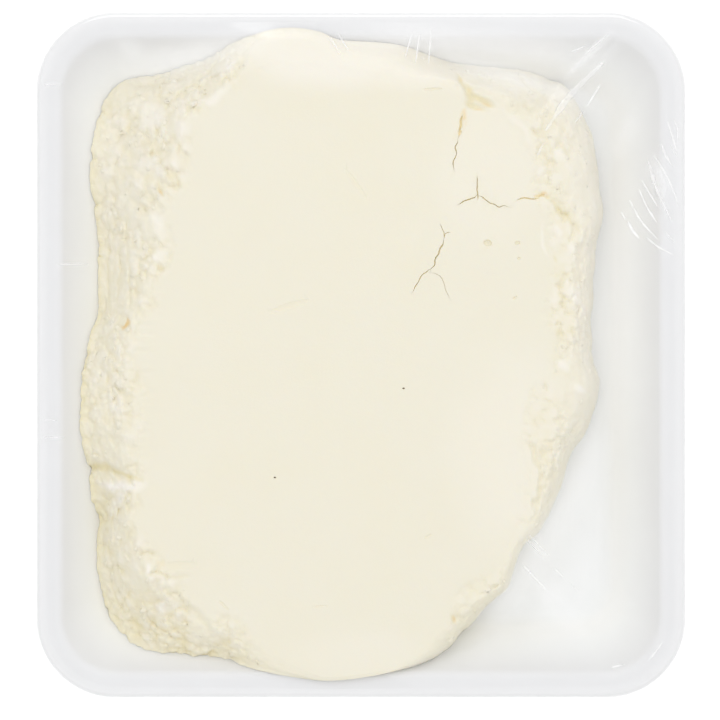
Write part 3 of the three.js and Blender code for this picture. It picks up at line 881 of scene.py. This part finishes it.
def wedge(path, width, depth, salt):
    """Cutter for one crack: a V of uneven width that narrows to nothing at both ends"""
    line = smooth_curve(path, False, 14)
    flat = np.column_stack([line, np.full(len(line), 3.0)])
    shares = np.linspace(0, 1, len(line))
    fullness = np.clip(np.sin(math.pi * shares) * 1.6, 0.12, 1)
    run = np.gradient(line, axis=0)
    side = np.column_stack([-run[:, 1], run[:, 0]]) / np.hypot(run[:, 0], run[:, 1])[:, None]
    wander = 0.28 * soft_noise(flat, 1.1, salt)[:, None] * side
    surface = top_height(line)
    rings = []
    for sign in (-1, 1):
        ragged = 0.75 + 0.55 * soft_noise(flat, 0.55, salt + 1 + sign)
        reach = width / 2 * fullness * ragged * (1 + OVERHEAD / depth)
        rings.append(line + wander + sign * side * np.maximum(reach, 0.02)[:, None])
    bottom = line + wander + 0.1 * side * soft_noise(flat, 1.3, salt + 5)[:, None]
    rows = []
    for number, height in enumerate(surface):
        rows.append(np.array([
            (*rings[0][number], height + OVERHEAD),
            (*bottom[number], height - depth * fullness[number]),
            (*rings[1][number], height + OVERHEAD),
        ]))
    return add_loft(f"crack_{salt}", rows, rows[0].mean(0), rows[-1].mean(0))


def lens(start, end, width, depth, salt):
    """Cutter for one shallow mark: a long lens that stands in the surface"""
    start = np.array(start, float)
    end = np.array(end, float)
    run = end - start
    length = max(np.hypot(*run), 0.01)
    run /= length
    side = np.array([-run[1], run[0]])
    middle = (start + end) / 2
    height = top_height(middle[None])[0]
    radius = (width ** 2 / 4 + depth ** 2) / (2 * depth)
    rings = []
    for level in np.linspace(-1, 1, 9)[1:-1]:
        turned = np.arange(24) / 24 * TURN
        wide = math.sqrt(1 - level ** 2)
        across = np.cos(turned) * (length / 2 + width / 2) * wide
        over = np.sin(turned) * width / 2 * wide
        flat = middle + across[:, None] * run + over[:, None] * side
        drop = np.where(level < 0, level * depth, level * radius)
        tilt = top_height(flat) - height
        rings.append(np.column_stack([flat, np.full(24, height + drop) + tilt]))
    low = np.array([*middle, height - depth])
    high = np.array([*middle, height + radius])
    return add_loft(f"mark_{salt}", rings, low, high)


def cut(item, cutters):
    """Takes the cutters out of an object and removes them"""
    for cutter in cutters:
        modifier = item.modifiers.new(cutter.name, "BOOLEAN")
        modifier.operation = "DIFFERENCE"
        modifier.solver = "MANIFOLD"
        modifier.object = cutter
    shown = item.evaluated_get(bpy.context.evaluated_depsgraph_get())
    mesh = bpy.data.meshes.new_from_object(shown)
    item.modifiers.clear()
    item.data = mesh
    for cutter in cutters:
        bpy.data.objects.remove(cutter)


def cut_cracks(slab):
    """Cuts the cracks and the small marks, and stores how far below the top each point lies"""
    cutters = [wedge(path, width, depth, 20 + 10 * number)
               for number, (path, width, depth) in enumerate(CRACKS)]
    cutters += [lens(*mark, number) for number, mark in enumerate(MARKS)]
    cut(slab, cutters)
    points = points_of(slab.data)
    beside = np.min([nearest_on_path(points, path)[0] for path, _, _ in CRACKS], axis=0)
    below = top_height(points) - points[:, 2]
    crack = smooth(1.2, 0.7, beside) * np.clip((below - 0.05) / 0.35, 0, 1)
    for start, end, width, depth in MARKS:
        apart = nearest_on_path(points, [start, end])[0]
        # Marks take a little of the crack colour, more the deeper a point lies in them
        mark_tint = 0.2 * np.clip((below - 0.02) / depth, 0, 1) * smooth(0.8 * width, 0.5 * width, apart)
        crack = np.maximum(crack, mark_tint)
    set_attribute(slab.data, "crack", crack)
    slab.data.shade_smooth()
    slab.data.set_sharp_from_angle(angle=math.radians(48))


def crumb_tree():
    """Irregular crumbs of curd half sunk in a surface, thickest where it is crumbly"""
    tree, start, end = geometry_tree("Curd crumbs", {
        "Spacing": "Float", "Density": "Float", "Smallest": "Float", "Largest": "Float",
        "Sunk": "Float", "Unevenness": "Float", "Seed": "Int", "Material": "Material",
    })
    given = start.outputs
    crumbly = node(tree, "GeometryNodeInputNamedAttribute", Name="crumbly").outputs["Attribute"]
    strewn = node(tree, "GeometryNodeDistributePointsOnFaces", {"distribute_method": "POISSON"},
                  Mesh=given["Geometry"], Distance_Min=given["Spacing"],
                  Density_Max=given["Density"], Density_Factor=crumbly, Seed=given["Seed"])
    chance = node(tree, "FunctionNodeRandomValue", n2=0.0, n3=1.0, Seed=given["Seed"]).outputs[1]
    pale = node(tree, "GeometryNodeInputNamedAttribute", Name="pale").outputs["Attribute"]
    paler = math_node(tree, "ADD", pale, math_node(tree, "MULTIPLY", chance, 0.12))
    named = node(tree, "GeometryNodeStoreNamedAttribute", Geometry=strewn.outputs["Points"],
                 Name="pale", Value=paler)
    other = math_node(tree, "ADD", given["Seed"], 5.0)
    share = node(tree, "FunctionNodeRandomValue", n2=0.0, n3=1.0, Seed=other).outputs[1]
    size = node(tree, "ShaderNodeMapRange", Value=math_node(tree, "POWER", share, 2.2),
                To_Min=given["Smallest"], To_Max=given["Largest"]).outputs[0]
    inward = math_node(tree, "MULTIPLY", math_node(tree, "MULTIPLY", size, given["Sunk"]), -1.0)
    push = node(tree, "ShaderNodeVectorMath", {"operation": "SCALE"}, n0=strewn.outputs["Normal"],
                Scale=inward)
    sunk = node(tree, "GeometryNodeSetPosition", Geometry=named.outputs[0], Offset=push.outputs[0])
    stretch = node(tree, "FunctionNodeRandomValue", {"data_type": "FLOAT_VECTOR"},
                   n0=(0.75, 0.6, 0.5), n1=(1.45, 1.1, 0.95), Seed=given["Seed"]).outputs[0]
    scale = node(tree, "ShaderNodeVectorMath", {"operation": "SCALE"}, n0=stretch, Scale=size)
    turned = node(tree, "FunctionNodeRandomValue", {"data_type": "FLOAT_VECTOR"},
                  n0=(0.0, 0.0, 0.0), n1=(TURN, TURN, TURN), Seed=given["Seed"]).outputs[0]
    ball = node(tree, "GeometryNodeMeshIcoSphere", Radius=0.5, Subdivisions=2)
    placed = node(tree, "GeometryNodeInstanceOnPoints", Points=sunk.outputs[0],
                  Instance=ball.outputs[0], Rotation=turned, Scale=scale.outputs[0])
    real = node(tree, "GeometryNodeRealizeInstances", Geometry=placed.outputs[0])
    noise = node(tree, "ShaderNodeTexNoise", Scale=1 / (0.9 * MM), Detail=1.0)
    centred = node(tree, "ShaderNodeVectorMath", {"operation": "SUBTRACT"},
                   n0=noise.outputs["Color"], n1=(0.5, 0.5, 0.5))
    moved = node(tree, "ShaderNodeVectorMath", {"operation": "SCALE"},
                 n0=centred.outputs[0], Scale=given["Unevenness"])
    bumpy = node(tree, "GeometryNodeSetPosition", Geometry=real.outputs[0], Offset=moved.outputs[0])
    smoothed = node(tree, "GeometryNodeSetShadeSmooth", Geometry=bumpy.outputs[0])
    dressed = node(tree, "GeometryNodeSetMaterial", Geometry=smoothed.outputs[0],
                   Material=given["Material"])
    tree.links.new(dressed.outputs[0], end.inputs[0])
    return tree


def make_crumbs(slab, material):
    """Small crumbs pressed into the shoulder, held under the film and off the foam"""
    crumbs = grown_from(slab, "curd_crumbs", crumb_tree(), {
        "Spacing": 1.5 * MM, "Density": 0.14 / MM ** 2, "Smallest": 1.2 * MM, "Largest": 2.3 * MM,
        "Sunk": 0.38, "Unevenness": 1.5 * MM, "Seed": 4, "Material": material,
    })
    points = under_film(into_room(points_of(crumbs.data)), 0.01)
    move_points(crumbs.data, points)
    return crumbs


def make_tray(material):
    """Foam tray: flat floor, sloping walls and a rounded rim with a turned-down lip"""
    lip = RIM_TOP - LIP_HEIGHT
    section = rounded_section([
        (wall_face(TRAY_BOTTOM, -WALL_THICKNESS) + 2 * FOOT_ROUND, TRAY_BOTTOM),
        (wall_face(TRAY_BOTTOM, -WALL_THICKNESS), TRAY_BOTTOM, FOOT_ROUND),
        (wall_face(lip, -WALL_THICKNESS), lip, 1.0),
        (SNUG, lip, 0.9),
        (SNUG, RIM_TOP, EDGE_ROUND),
        (wall_face(RIM_TOP, 0), RIM_TOP, EDGE_ROUND),
        (wall_face(FLOOR_TOP, 0), FLOOR_TOP, FOOT_ROUND),
        (wall_face(FLOOR_TOP, 0) + 2 * FOOT_ROUND, FLOOR_TOP),
    ])
    rings = [pack_ring(inset, z) for inset, z in section]
    tray = add_loft("foam_tray", rings, (0, 0, TRAY_BOTTOM), (0, 0, FLOOR_TOP))
    height = points_of(tray.data)[:, 2]
    # Painted shade: the foam is greyer on the rim and, half as much, on the floor, to even them out with
    # the shaded walls
    pressed = smooth(RIM_TOP - 5, RIM_TOP - 1, height) + 0.5 * smooth(FLOOR_TOP + 3, FLOOR_TOP, height)
    set_attribute(tray.data, "rim", pressed)
    tray.data.shade_smooth()
    tray.data.materials.append(material)
    return tray


def streak_haze(points):
    """How hazy the film is at points, from its broad soft streaks, which are painted reflections and
    painted light
    """
    haze = np.zeros(len(points))
    for start, end, width, strength in HAZE_AND_PAINTED_LIGHT_STREAKS:
        distance, along = nearest_on_path(points, [start, end])
        taper = np.sin(math.pi * np.clip(along, 0.03, 0.97)) ** 0.5
        haze = np.maximum(haze, strength * taper * np.exp(-(distance / (width / 2)) ** 2))
    return haze


def divided(section, longest):
    """Section with its long stretches divided into steps no longer than the given length"""
    points = [section[:1]]
    for start, end in zip(section, section[1:]):
        steps = max(1, math.ceil(math.dist(start, end) / longest))
        shares = np.arange(1, steps + 1)[:, None] / steps
        points.append(start + (end - start) * shares)
    return np.vstack(points)


def film_side(section):
    """Rings of the film from under the tray up to the rim, gathered into small folds where it
    goes round the tray's corners. Each ring comes with its haze."""
    per_side = CORNER_STEPS + SIDE_STEPS
    column = np.arange(4 * per_side)
    step = column % per_side
    in_corner = np.clip(np.sin(math.pi * (step + 3) / (CORNER_STEPS + 6)), 0, 1)
    in_corner = np.where(step <= CORNER_STEPS + 3, in_corner, 0)
    rings = []
    hazes = []
    for inset, z in section:
        ring = pack_ring(inset, z)
        down = smooth(RIM_TOP - LIP_HEIGHT + 1, 9, z) * smooth(0.2, 2, z)
        drawn = smooth(RIM_TOP - LIP_HEIGHT + 1, 9, z)
        folds = np.abs(np.sin(step * 0.74 + 1.3 * (column // per_side) + 0.02 * z)) ** 0.7
        outward = ring[:, :2] / np.linalg.norm(ring[:, :2], axis=1)[:, None]
        ring[:, :2] -= outward * (FOLD_DEPTH * down * in_corner * folds)[:, None]
        rings.append(ring)
        hazes.append(0.05 + 0.3 * drawn * in_corner * folds ** 2)
    return rings, hazes


def make_film(material):
    """Stretch film over the cheese, round the rim, down past the walls and under the tray"""
    foot = wall_face(TRAY_BOTTOM, -WALL_THICKNESS) - SKIN / 2
    lip = RIM_TOP - LIP_HEIGHT - FILM_INSET
    top = RIM_TOP + FILM_TOUCH
    section = divided(rounded_section([
        (FOLD_REACH, UNDERSIDE),
        (foot, UNDERSIDE, FILM_ROUND),
        (FILM_INSET, lip, FILM_ROUND),
        (FILM_INSET, top, FILM_ROUND),
        (FILM_CONTACT, top),
    ]), 1.5)
    rings, hazes = film_side(section)
    contact = rings[-1]
    angles, _ = polar(contact)
    edge = top_edge(angles)
    direction = np.stack([np.cos(angles), np.sin(angles)], 1)
    at_edge = direction * edge[:, None] + SLAB_CENTRE
    for share in np.linspace(0, 1, 31)[1:]:
        flat = contact[:, :2] + (at_edge - contact[:, :2]) * share
        ripple = soft_noise(np.column_stack([direction * 9, np.full(len(flat), share)]), 1.0, 14)
        lift = SAG_RIPPLE * (1 + ripple) * math.sin(math.pi * share)
        rings.append(np.column_stack([flat, film_height(flat) + lift]))
        hazes.append(streak_haze(flat))
    for share in np.linspace(1, 0, 26)[1:-1]:
        flat = direction * (edge * share)[:, None] + SLAB_CENTRE
        rings.append(np.column_stack([flat, film_height(flat)]))
        hazes.append(streak_haze(flat))
    crown = np.array([*SLAB_CENTRE, film_height(SLAB_CENTRE[None])[0]])
    counts = [len(ring) for ring in rings]
    total = sum(counts)
    faces = ring_faces(counts) + fan_faces(total - counts[-1], counts[-1], total, True)
    film = add_mesh("stretch_film", np.vstack([*rings, [crown]]), faces)
    set_attribute(film.data, "haze", np.concatenate([*hazes, [0]]))
    film.data.shade_smooth()
    film.data.materials.append(material)
    shell = film.modifiers.new("thickness", "SOLIDIFY")
    shell.thickness = FILM_THICKNESS * MM
    shell.offset = 1
    return film


def crease_tree():
    """Lens-shaped creases along lines, each as wide as its line says, with its haze, a painted glint, on
    its upper side
    """
    tree, start, end = geometry_tree("Film creases", {
        "Flatness": "Float", "Sides": "Int", "Material": "Material",
    })
    given = start.outputs
    width = node(tree, "GeometryNodeInputNamedAttribute", Name="width").outputs["Attribute"]
    lines = node(tree, "GeometryNodeMeshToCurve", Mesh=given["Geometry"])
    level = node(tree, "GeometryNodeSetCurveNormal", {"mode": "Z_UP"}, Curve=lines.outputs[0])
    ring = node(tree, "GeometryNodeCurvePrimitiveCircle", Resolution=given["Sides"], Radius=0.5)
    shape = node(tree, "ShaderNodeCombineXYZ", X=1.0, Y=given["Flatness"], Z=1.0)
    lens_shape = node(tree, "GeometryNodeTransform", Geometry=ring.outputs[0], Scale=shape.outputs[0])
    swept = node(tree, "GeometryNodeCurveToMesh", Curve=level.outputs[0],
                 n1=lens_shape.outputs[0], Scale=width, n3=True)
    real = node(tree, "GeometryNodeRealizeInstances", Geometry=swept.outputs[0])
    facing = node(tree, "ShaderNodeSeparateXYZ", n0=node(tree, "GeometryNodeInputNormal").outputs[0])
    upper = math_node(tree, "GREATER_THAN", facing.outputs["Z"], 0.0)
    haze = node(tree, "GeometryNodeInputNamedAttribute", Name="haze").outputs["Attribute"]
    painted_glint_stored = node(tree, "GeometryNodeStoreNamedAttribute", Geometry=real.outputs[0],
                Name="haze", Value=math_node(tree, "MULTIPLY", haze, upper))
    smoothed = node(tree, "GeometryNodeSetShadeSmooth", Geometry=painted_glint_stored.outputs[0])
    dressed = node(tree, "GeometryNodeSetMaterial", Geometry=smoothed.outputs[0],
                   Material=given["Material"])
    tree.links.new(dressed.outputs[0], end.inputs[0])
    return tree


def make_creases(material):
    """Narrow tension creases lying on the film, made bright white as a painted glint of the lights"""
    points, edges, widths, hazes = [], [], [], []
    level_half = np.array([PACK_WIDTH, PACK_DEPTH]) / 2 - FILM_ROUND - 0.5
    for number, (path, width, painted_glint) in enumerate(CREASES):
        flat = smooth_curve(path, False, 24 // (len(path) - 1))
        flat = np.clip(flat, -level_half, level_half)
        steps = len(flat)
        shares = np.linspace(0, 1, steps)
        first = len(points)
        edges += [(first + step, first + step + 1) for step in range(steps - 1)]
        taper = np.sin(math.pi * (0.04 + 0.92 * shares)) ** 0.7
        uneven = soft_noise(np.column_stack([flat, np.full(steps, number)]), 1.6, 15)
        wide = width * taper * (1 + 0.35 * uneven)
        height = film_height(flat) + CREASE_LIFT + CREASE_FLATNESS * wide / 2
        points += np.column_stack([flat, height]).tolist()
        widths += (wide * MM).tolist()
        hazes += (painted_glint * (1 + 0.3 * uneven)).tolist()
    lines = add_mesh("crease_lines", points, [])
    lines.data.edges.add(len(edges))
    lines.data.edges.foreach_set("vertices", np.array(edges).ravel())
    set_attribute(lines.data, "width", widths)
    set_attribute(lines.data, "haze", hazes)
    creases = grown_from(lines, "film_creases", crease_tree(), {
        "Flatness": CREASE_FLATNESS, "Sides": 10, "Material": material,
    })
    bpy.data.objects.remove(lines)
    return creases


def make_flaps(material):
    """The film's two ends, folded over each other under the tray"""
    points, faces, hazes = [], [], []
    layers = (((-52, 9), (-46, 46), UNDERSIDE + 0.12), ((-9, 52), (-44, 44), UNDERSIDE + 0.28))
    columns, rows = 60, 60
    for number, ((left, right), (near, far), height) in enumerate(layers):
        across = np.linspace(left, right, columns)
        along = np.linspace(near, far, rows)
        x, y = np.meshgrid(across, along)
        flat = np.column_stack([x.ravel(), y.ravel(), np.full(x.size, 5.0 * number)])
        flat[:, 0] += 1.5 * soft_noise(flat, 9, 16) * (np.abs(flat[:, 1]) / far)
        crinkle = soft_noise(flat * (0.35, 1, 1), 2.5, 17)
        first = len(points)
        points += np.column_stack([flat[:, :2], height + 0.05 * crinkle]).tolist()
        hazes += (0.12 + 0.12 * crinkle ** 2).tolist()
        for row in range(rows - 1):
            low = first + row * columns + np.arange(columns - 1)
            faces += np.stack([low, low + columns, low + columns + 1, low + 1], 1).tolist()
    flaps = add_mesh("film_flaps", points, faces)
    set_attribute(flaps.data, "haze", hazes)
    flaps.data.shade_smooth()
    flaps.data.materials.append(material)
    shell = flaps.modifiers.new("thickness", "SOLIDIFY")
    shell.thickness = FILM_THICKNESS * MM
    shell.offset = 0
    return flaps


def make_specks(material):
    """Tiny dark specks half sunk in the top"""
    points, faces = [], []
    for number, (place, width) in enumerate(SPECKS):
        middle = np.array([*place, top_height(np.array([place]))[0]])
        turned = np.arange(10) / 10 * TURN
        first = len(points)
        for tilt in (-0.9, -0.3, 0.3, 0.9):
            ring = np.column_stack([np.cos(turned), np.sin(turned), np.full(10, math.sin(tilt))])
            ring[:, :2] *= math.cos(tilt)
            lumpy = 1 + 0.35 * soft_noise(ring * 3 + number * 7, 1.1, 18)
            points += (middle + ring * lumpy[:, None] * (width / 2, width / 3, 0.08)).tolist()
        points += [middle - (0, 0, 0.08), middle + (0, 0, 0.08)]
        faces += ring_faces([10] * 4, first)
        faces += fan_faces(first, 10, first + 40, False) + fan_faces(first + 30, 10, first + 41, True)
    specks = add_mesh("surface_specks", points, faces)
    specks.data.shade_smooth()
    specks.data.materials.append(material)
    return specks


def shader_group(name, inputs, outputs):
    """New shader node group with named inputs and outputs"""
    tree = bpy.data.node_groups.new(name, "ShaderNodeTree")
    for label, kind in inputs.items():
        tree.interface.new_socket(label, in_out="INPUT", socket_type=f"NodeSocket{kind}")
    for label, kind in outputs.items():
        tree.interface.new_socket(label, in_out="OUTPUT", socket_type=f"NodeSocket{kind}")
    return tree, node(tree, "NodeGroupInput"), node(tree, "NodeGroupOutput")


def mix_colour(tree, share, first, second):
    """Output of a node that mixes two colours"""
    return node(tree, "ShaderNodeMix", {"data_type": "RGBA"}, n0=share, n6=first, n7=second).outputs[2]


def curd_group():
    """Colour and fine relief of curd: its body, yellow seams, pale crumbs and faint mottling. The seam and
    pale shares also carry painted shade and painted light.
    """
    tree, start, end = shader_group(
        "Curd",
        {"Vector": "Vector", "Body": "Color", "Seam Colour": "Color", "Pale Colour": "Color",
         "Seam": "Float", "Pale": "Float", "Grain Size": "Float"},
        {"Color": "Color", "Roughness": "Float", "Height": "Float"},
    )
    given = start.outputs
    patches = node(tree, "ShaderNodeTexNoise", Vector=given["Vector"], Scale=1 / (14 * MM), Detail=2.0)
    warm = node(tree, "ShaderNodeMapRange", Value=patches.outputs["Fac"], From_Min=0.3, From_Max=0.7,
                To_Min=0.0, To_Max=0.12)
    body = mix_colour(tree, warm.outputs[0], given["Body"], given["Seam Colour"])
    per_metre = math_node(tree, "DIVIDE", 1.0, given["Grain Size"])
    grain = node(tree, "ShaderNodeTexNoise", Vector=given["Vector"], Scale=per_metre, Detail=3.0)
    uneven = math_node(tree, "MULTIPLY", given["Seam"], math_node(tree, "ADD", grain.outputs["Fac"], 0.5))
    seamed = mix_colour(tree, uneven, body, given["Seam Colour"])
    paled = mix_colour(tree, given["Pale"], seamed, given["Pale Colour"])
    matte = node(tree, "ShaderNodeMapRange", Value=grain.outputs["Fac"], To_Min=0.38, To_Max=0.58)
    tree.links.new(paled, end.inputs["Color"])
    tree.links.new(matte.outputs[0], end.inputs["Roughness"])
    tree.links.new(grain.outputs["Fac"], end.inputs["Height"])
    return tree


def new_material(name):
    """Empty material with a Principled shader and its coordinates"""
    material = bpy.data.materials.new(name)
    material.use_nodes = True
    tree = material.node_tree
    shader = tree.nodes["Principled BSDF"]
    place = node(tree, "ShaderNodeTexCoord").outputs["Object"]
    return material, tree, shader, place


def attribute(tree, name):
    """Output of a node that reads one of a piece's own attributes"""
    made = node(tree, "ShaderNodeAttribute")
    made.attribute_name = name
    return made.outputs["Fac"]


def curd_material(name, group, grain_size, relief, glow):
    """Curd whose seams, pale crumbs, cracks and stains come from the piece's own attributes; painted shade
    and painted light ride in the seam and pale ones
    """
    material, tree, shader, place = new_material(name)
    curd = node(tree, "ShaderNodeGroup", {"node_tree": group}, Vector=place, Body=BODY_COLOUR,
                Seam_Colour=SEAM_COLOUR, Pale_Colour=PALE_COLOUR, Seam=attribute(tree, "seam"),
                Pale=attribute(tree, "pale"), Grain_Size=grain_size)
    cracked = mix_colour(tree, attribute(tree, "crack"), curd.outputs["Color"], CRACK_COLOUR)
    stained = mix_colour(tree, attribute(tree, "stain"), cracked, STAIN_COLOUR)
    bump = node(tree, "ShaderNodeBump", Strength=relief, Distance=0.1 * MM,
                Height=curd.outputs["Height"])
    tree.links.new(stained, shader.inputs["Base Color"])
    tree.links.new(curd.outputs["Roughness"], shader.inputs["Roughness"])
    tree.links.new(bump.outputs[0], shader.inputs["Normal"])
    shader.inputs["Subsurface Weight"].default_value = glow
    shader.inputs["Subsurface Radius"].default_value = (1.0, 0.8, 0.45)
    shader.inputs["Subsurface Scale"].default_value = 0.8 * MM
    return material


def foam_material():
    """Satin skin of expanded foam with faint cells. It is a little greyer on the rim and half as grey on
    the floor, as painted shade that evens them out with the walls. Light gets a few millimetres into it."""
    material, tree, shader, place = new_material("satin_foam")
    cells = node(tree, "ShaderNodeTexVoronoi", Vector=place, Scale=1 / (0.7 * MM))
    clouds = node(tree, "ShaderNodeTexNoise", Vector=place, Scale=1 / (9 * MM), Detail=2.0)
    mottled = node(tree, "ShaderNodeMapRange", Value=clouds.outputs["Fac"], To_Min=-0.1, To_Max=0.1)
    painted_shade_share = math_node(tree, "ADD", attribute(tree, "rim"), mottled.outputs[0])
    painted_shade_share.node.use_clamp = True
    colour = mix_colour(tree, painted_shade_share, FOAM_COLOUR, PAINTED_SHADE_FOAM_COLOUR)
    gloss = node(tree, "ShaderNodeMapRange", Value=clouds.outputs["Fac"], To_Min=0.4, To_Max=0.6)
    bump = node(tree, "ShaderNodeBump", Strength=0.12, Distance=0.05 * MM,
                Height=cells.outputs["Distance"])
    tree.links.new(colour, shader.inputs["Base Color"])
    tree.links.new(gloss.outputs[0], shader.inputs["Roughness"])
    tree.links.new(bump.outputs[0], shader.inputs["Normal"])
    shader.inputs["Subsurface Weight"].default_value = FOAM_LIGHT_SHARE
    shader.inputs["Subsurface Radius"].default_value = (1.0, 1.0, 1.0)
    shader.inputs["Subsurface Scale"].default_value = FOAM_LIGHT_DEPTH * MM
    return material


def film_material():
    """Clear glossy film: it reflects at a slant, and where it is hazy it scatters white light. Some of that
    haze is painted: glints on the creases, and light laid over shade.
    """
    material, tree, shader, place = new_material("clear_stretch_film")
    haze = attribute(tree, "haze")
    ripples = node(tree, "ShaderNodeTexNoise", Vector=place, Scale=1 / (5 * MM), Detail=1.0)
    bump = node(tree, "ShaderNodeBump", Strength=0.1, Distance=0.3 * MM,
                Height=ripples.outputs["Fac"])
    slant = node(tree, "ShaderNodeLayerWeight", Blend=0.5, Normal=bump.outputs[0])
    steep = math_node(tree, "POWER", slant.outputs["Facing"], 5.0)
    gloss = node(tree, "ShaderNodeMapRange", Value=steep, To_Min=FACING_GLOSS, To_Max=1.0)
    share = math_node(tree, "ADD", gloss.outputs[0], haze)
    share.node.use_clamp = True
    polish = math_node(tree, "MULTIPLY_ADD", haze, -2.0, 1.0)
    polish.node.use_clamp = True
    rough = node(tree, "ShaderNodeMapRange", Value=haze, To_Min=0.07, To_Max=0.4)
    shader.inputs["Base Color"].default_value = (1, 1, 1, 1)
    tree.links.new(polish, shader.inputs["Metallic"])
    tree.links.new(rough.outputs[0], shader.inputs["Roughness"])
    tree.links.new(bump.outputs[0], shader.inputs["Normal"])
    clear = node(tree, "ShaderNodeBsdfTransparent")
    both = node(tree, "ShaderNodeMixShader", n0=share, n1=clear.outputs[0], n2=shader.outputs[0])
    tree.links.new(both.outputs[0], tree.nodes["Material Output"].inputs["Surface"])
    return material


def speck_material():
    """Dark brown specks, lighter where they are worn"""
    material, tree, shader, place = new_material("brown_speck")
    grain = node(tree, "ShaderNodeTexNoise", Vector=place, Scale=1 / (0.15 * MM))
    colour = mix_colour(tree, grain.outputs["Fac"], (0.07, 0.045, 0.02, 1), (0.22, 0.15, 0.06, 1))
    tree.links.new(colour, shader.inputs["Base Color"])
    shader.inputs["Roughness"].default_value = 0.7
    return material


def table_material():
    """Bright white table, lit so evenly that it hardly shows a shadow"""
    material, tree, shader, place = new_material("white_table")
    patches = node(tree, "ShaderNodeTexNoise", Vector=place, Scale=3.0)
    colour = mix_colour(tree, patches.outputs["Fac"], (0.4, 0.4, 0.4, 1), (0.42, 0.42, 0.42, 1))
    tree.links.new(colour, shader.inputs["Base Color"])
    shader.inputs["Roughness"].default_value = 0.9
    shader.inputs["Specular IOR Level"].default_value = 0.1
    shader.inputs["Emission Color"].default_value = (1, 1, 1, 1)
    shader.inputs["Emission Strength"].default_value = TABLE_GLOW
    return material


def add_light(name, place, size, power):
    """Large soft square light that looks at the pack and isn't seen itself"""
    light = bpy.data.lights.new(name, "AREA")
    light.energy = power
    light.size = size
    item = bpy.data.objects.new(name, light)
    item.location = place
    item.rotation_euler = (-item.location).to_track_quat("-Z", "Y").to_euler()
    item.visible_camera = False
    bpy.context.scene.collection.objects.link(item)


def light_the_scene():
    """White studio dome, one large softbox overhead and a smaller soft light from the top"""
    world = bpy.data.worlds.new("studio")
    world.use_nodes = True
    sky = world.node_tree.nodes["Background"]
    sky.inputs["Color"].default_value = (1, 1, 1, 1)
    sky.inputs["Strength"].default_value = DOME_STRENGTH
    bpy.context.scene.world = world
    add_light("overhead_softbox", (0, 0, SOFTBOX_HEIGHT), SOFTBOX_SIZE, SOFTBOX_POWER)
    add_light("key_light", KEY_PLACE, KEY_SIZE, KEY_POWER)
    bpy.context.scene.view_settings.view_transform = "Standard"


def place_camera():
    """Camera straight above, framed as the photograph is"""
    camera = bpy.data.cameras.new("camera")
    camera.lens = LENS
    camera.sensor_width = SENSOR_WIDTH
    item = bpy.data.objects.new("camera", camera)
    item.location = (VIEW_CENTRE[0] * MM, VIEW_CENTRE[1] * MM, (RIM_TOP + CAMERA_DISTANCE) * MM)
    bpy.context.scene.collection.objects.link(item)
    bpy.context.scene.camera = item


def lay_table():
    """Plain pale table just under the pack"""
    corners = [(-TABLE_HALF, -TABLE_HALF), (TABLE_HALF, -TABLE_HALF),
               (TABLE_HALF, TABLE_HALF), (-TABLE_HALF, TABLE_HALF)]
    table = add_mesh("table", [(x, y, TABLE_LEVEL) for x, y in corners], [(0, 1, 2, 3)])
    table.data.materials.append(table_material())


curd = curd_group()
pressed = curd_material("pressed_curd", curd, 0.5 * MM, 0.25, 0.12)
loose = curd_material("loose_curd", curd, 0.4 * MM, 0.4, 0.0)
film_finish = film_material()

slab = make_slab()
crumbs = make_crumbs(slab, loose)
cut_cracks(slab)
slab.data.materials.clear()
slab.data.materials.append(pressed)
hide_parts("cheese")
tray = make_tray(foam_material())
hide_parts("tray")
film = make_film(film_finish)
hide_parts("film")
creases = make_creases(film_finish)
flaps = make_flaps(film_finish)
# Clear film neither shades what lies under it nor takes light from it
for clear in (film, creases, flaps):
    clear.visible_shadow = False
    clear.visible_diffuse = False
specks = make_specks(speck_material())
for piece, slot in ((slab, "cheese"), (crumbs, "cheese"), (tray, "foam"), (film, "film"),
                    (creases, "film"), (flaps, "film"), (specks, "cheese")):
    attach(piece, "root")

lay_table()
light_the_scene()
place_camera()
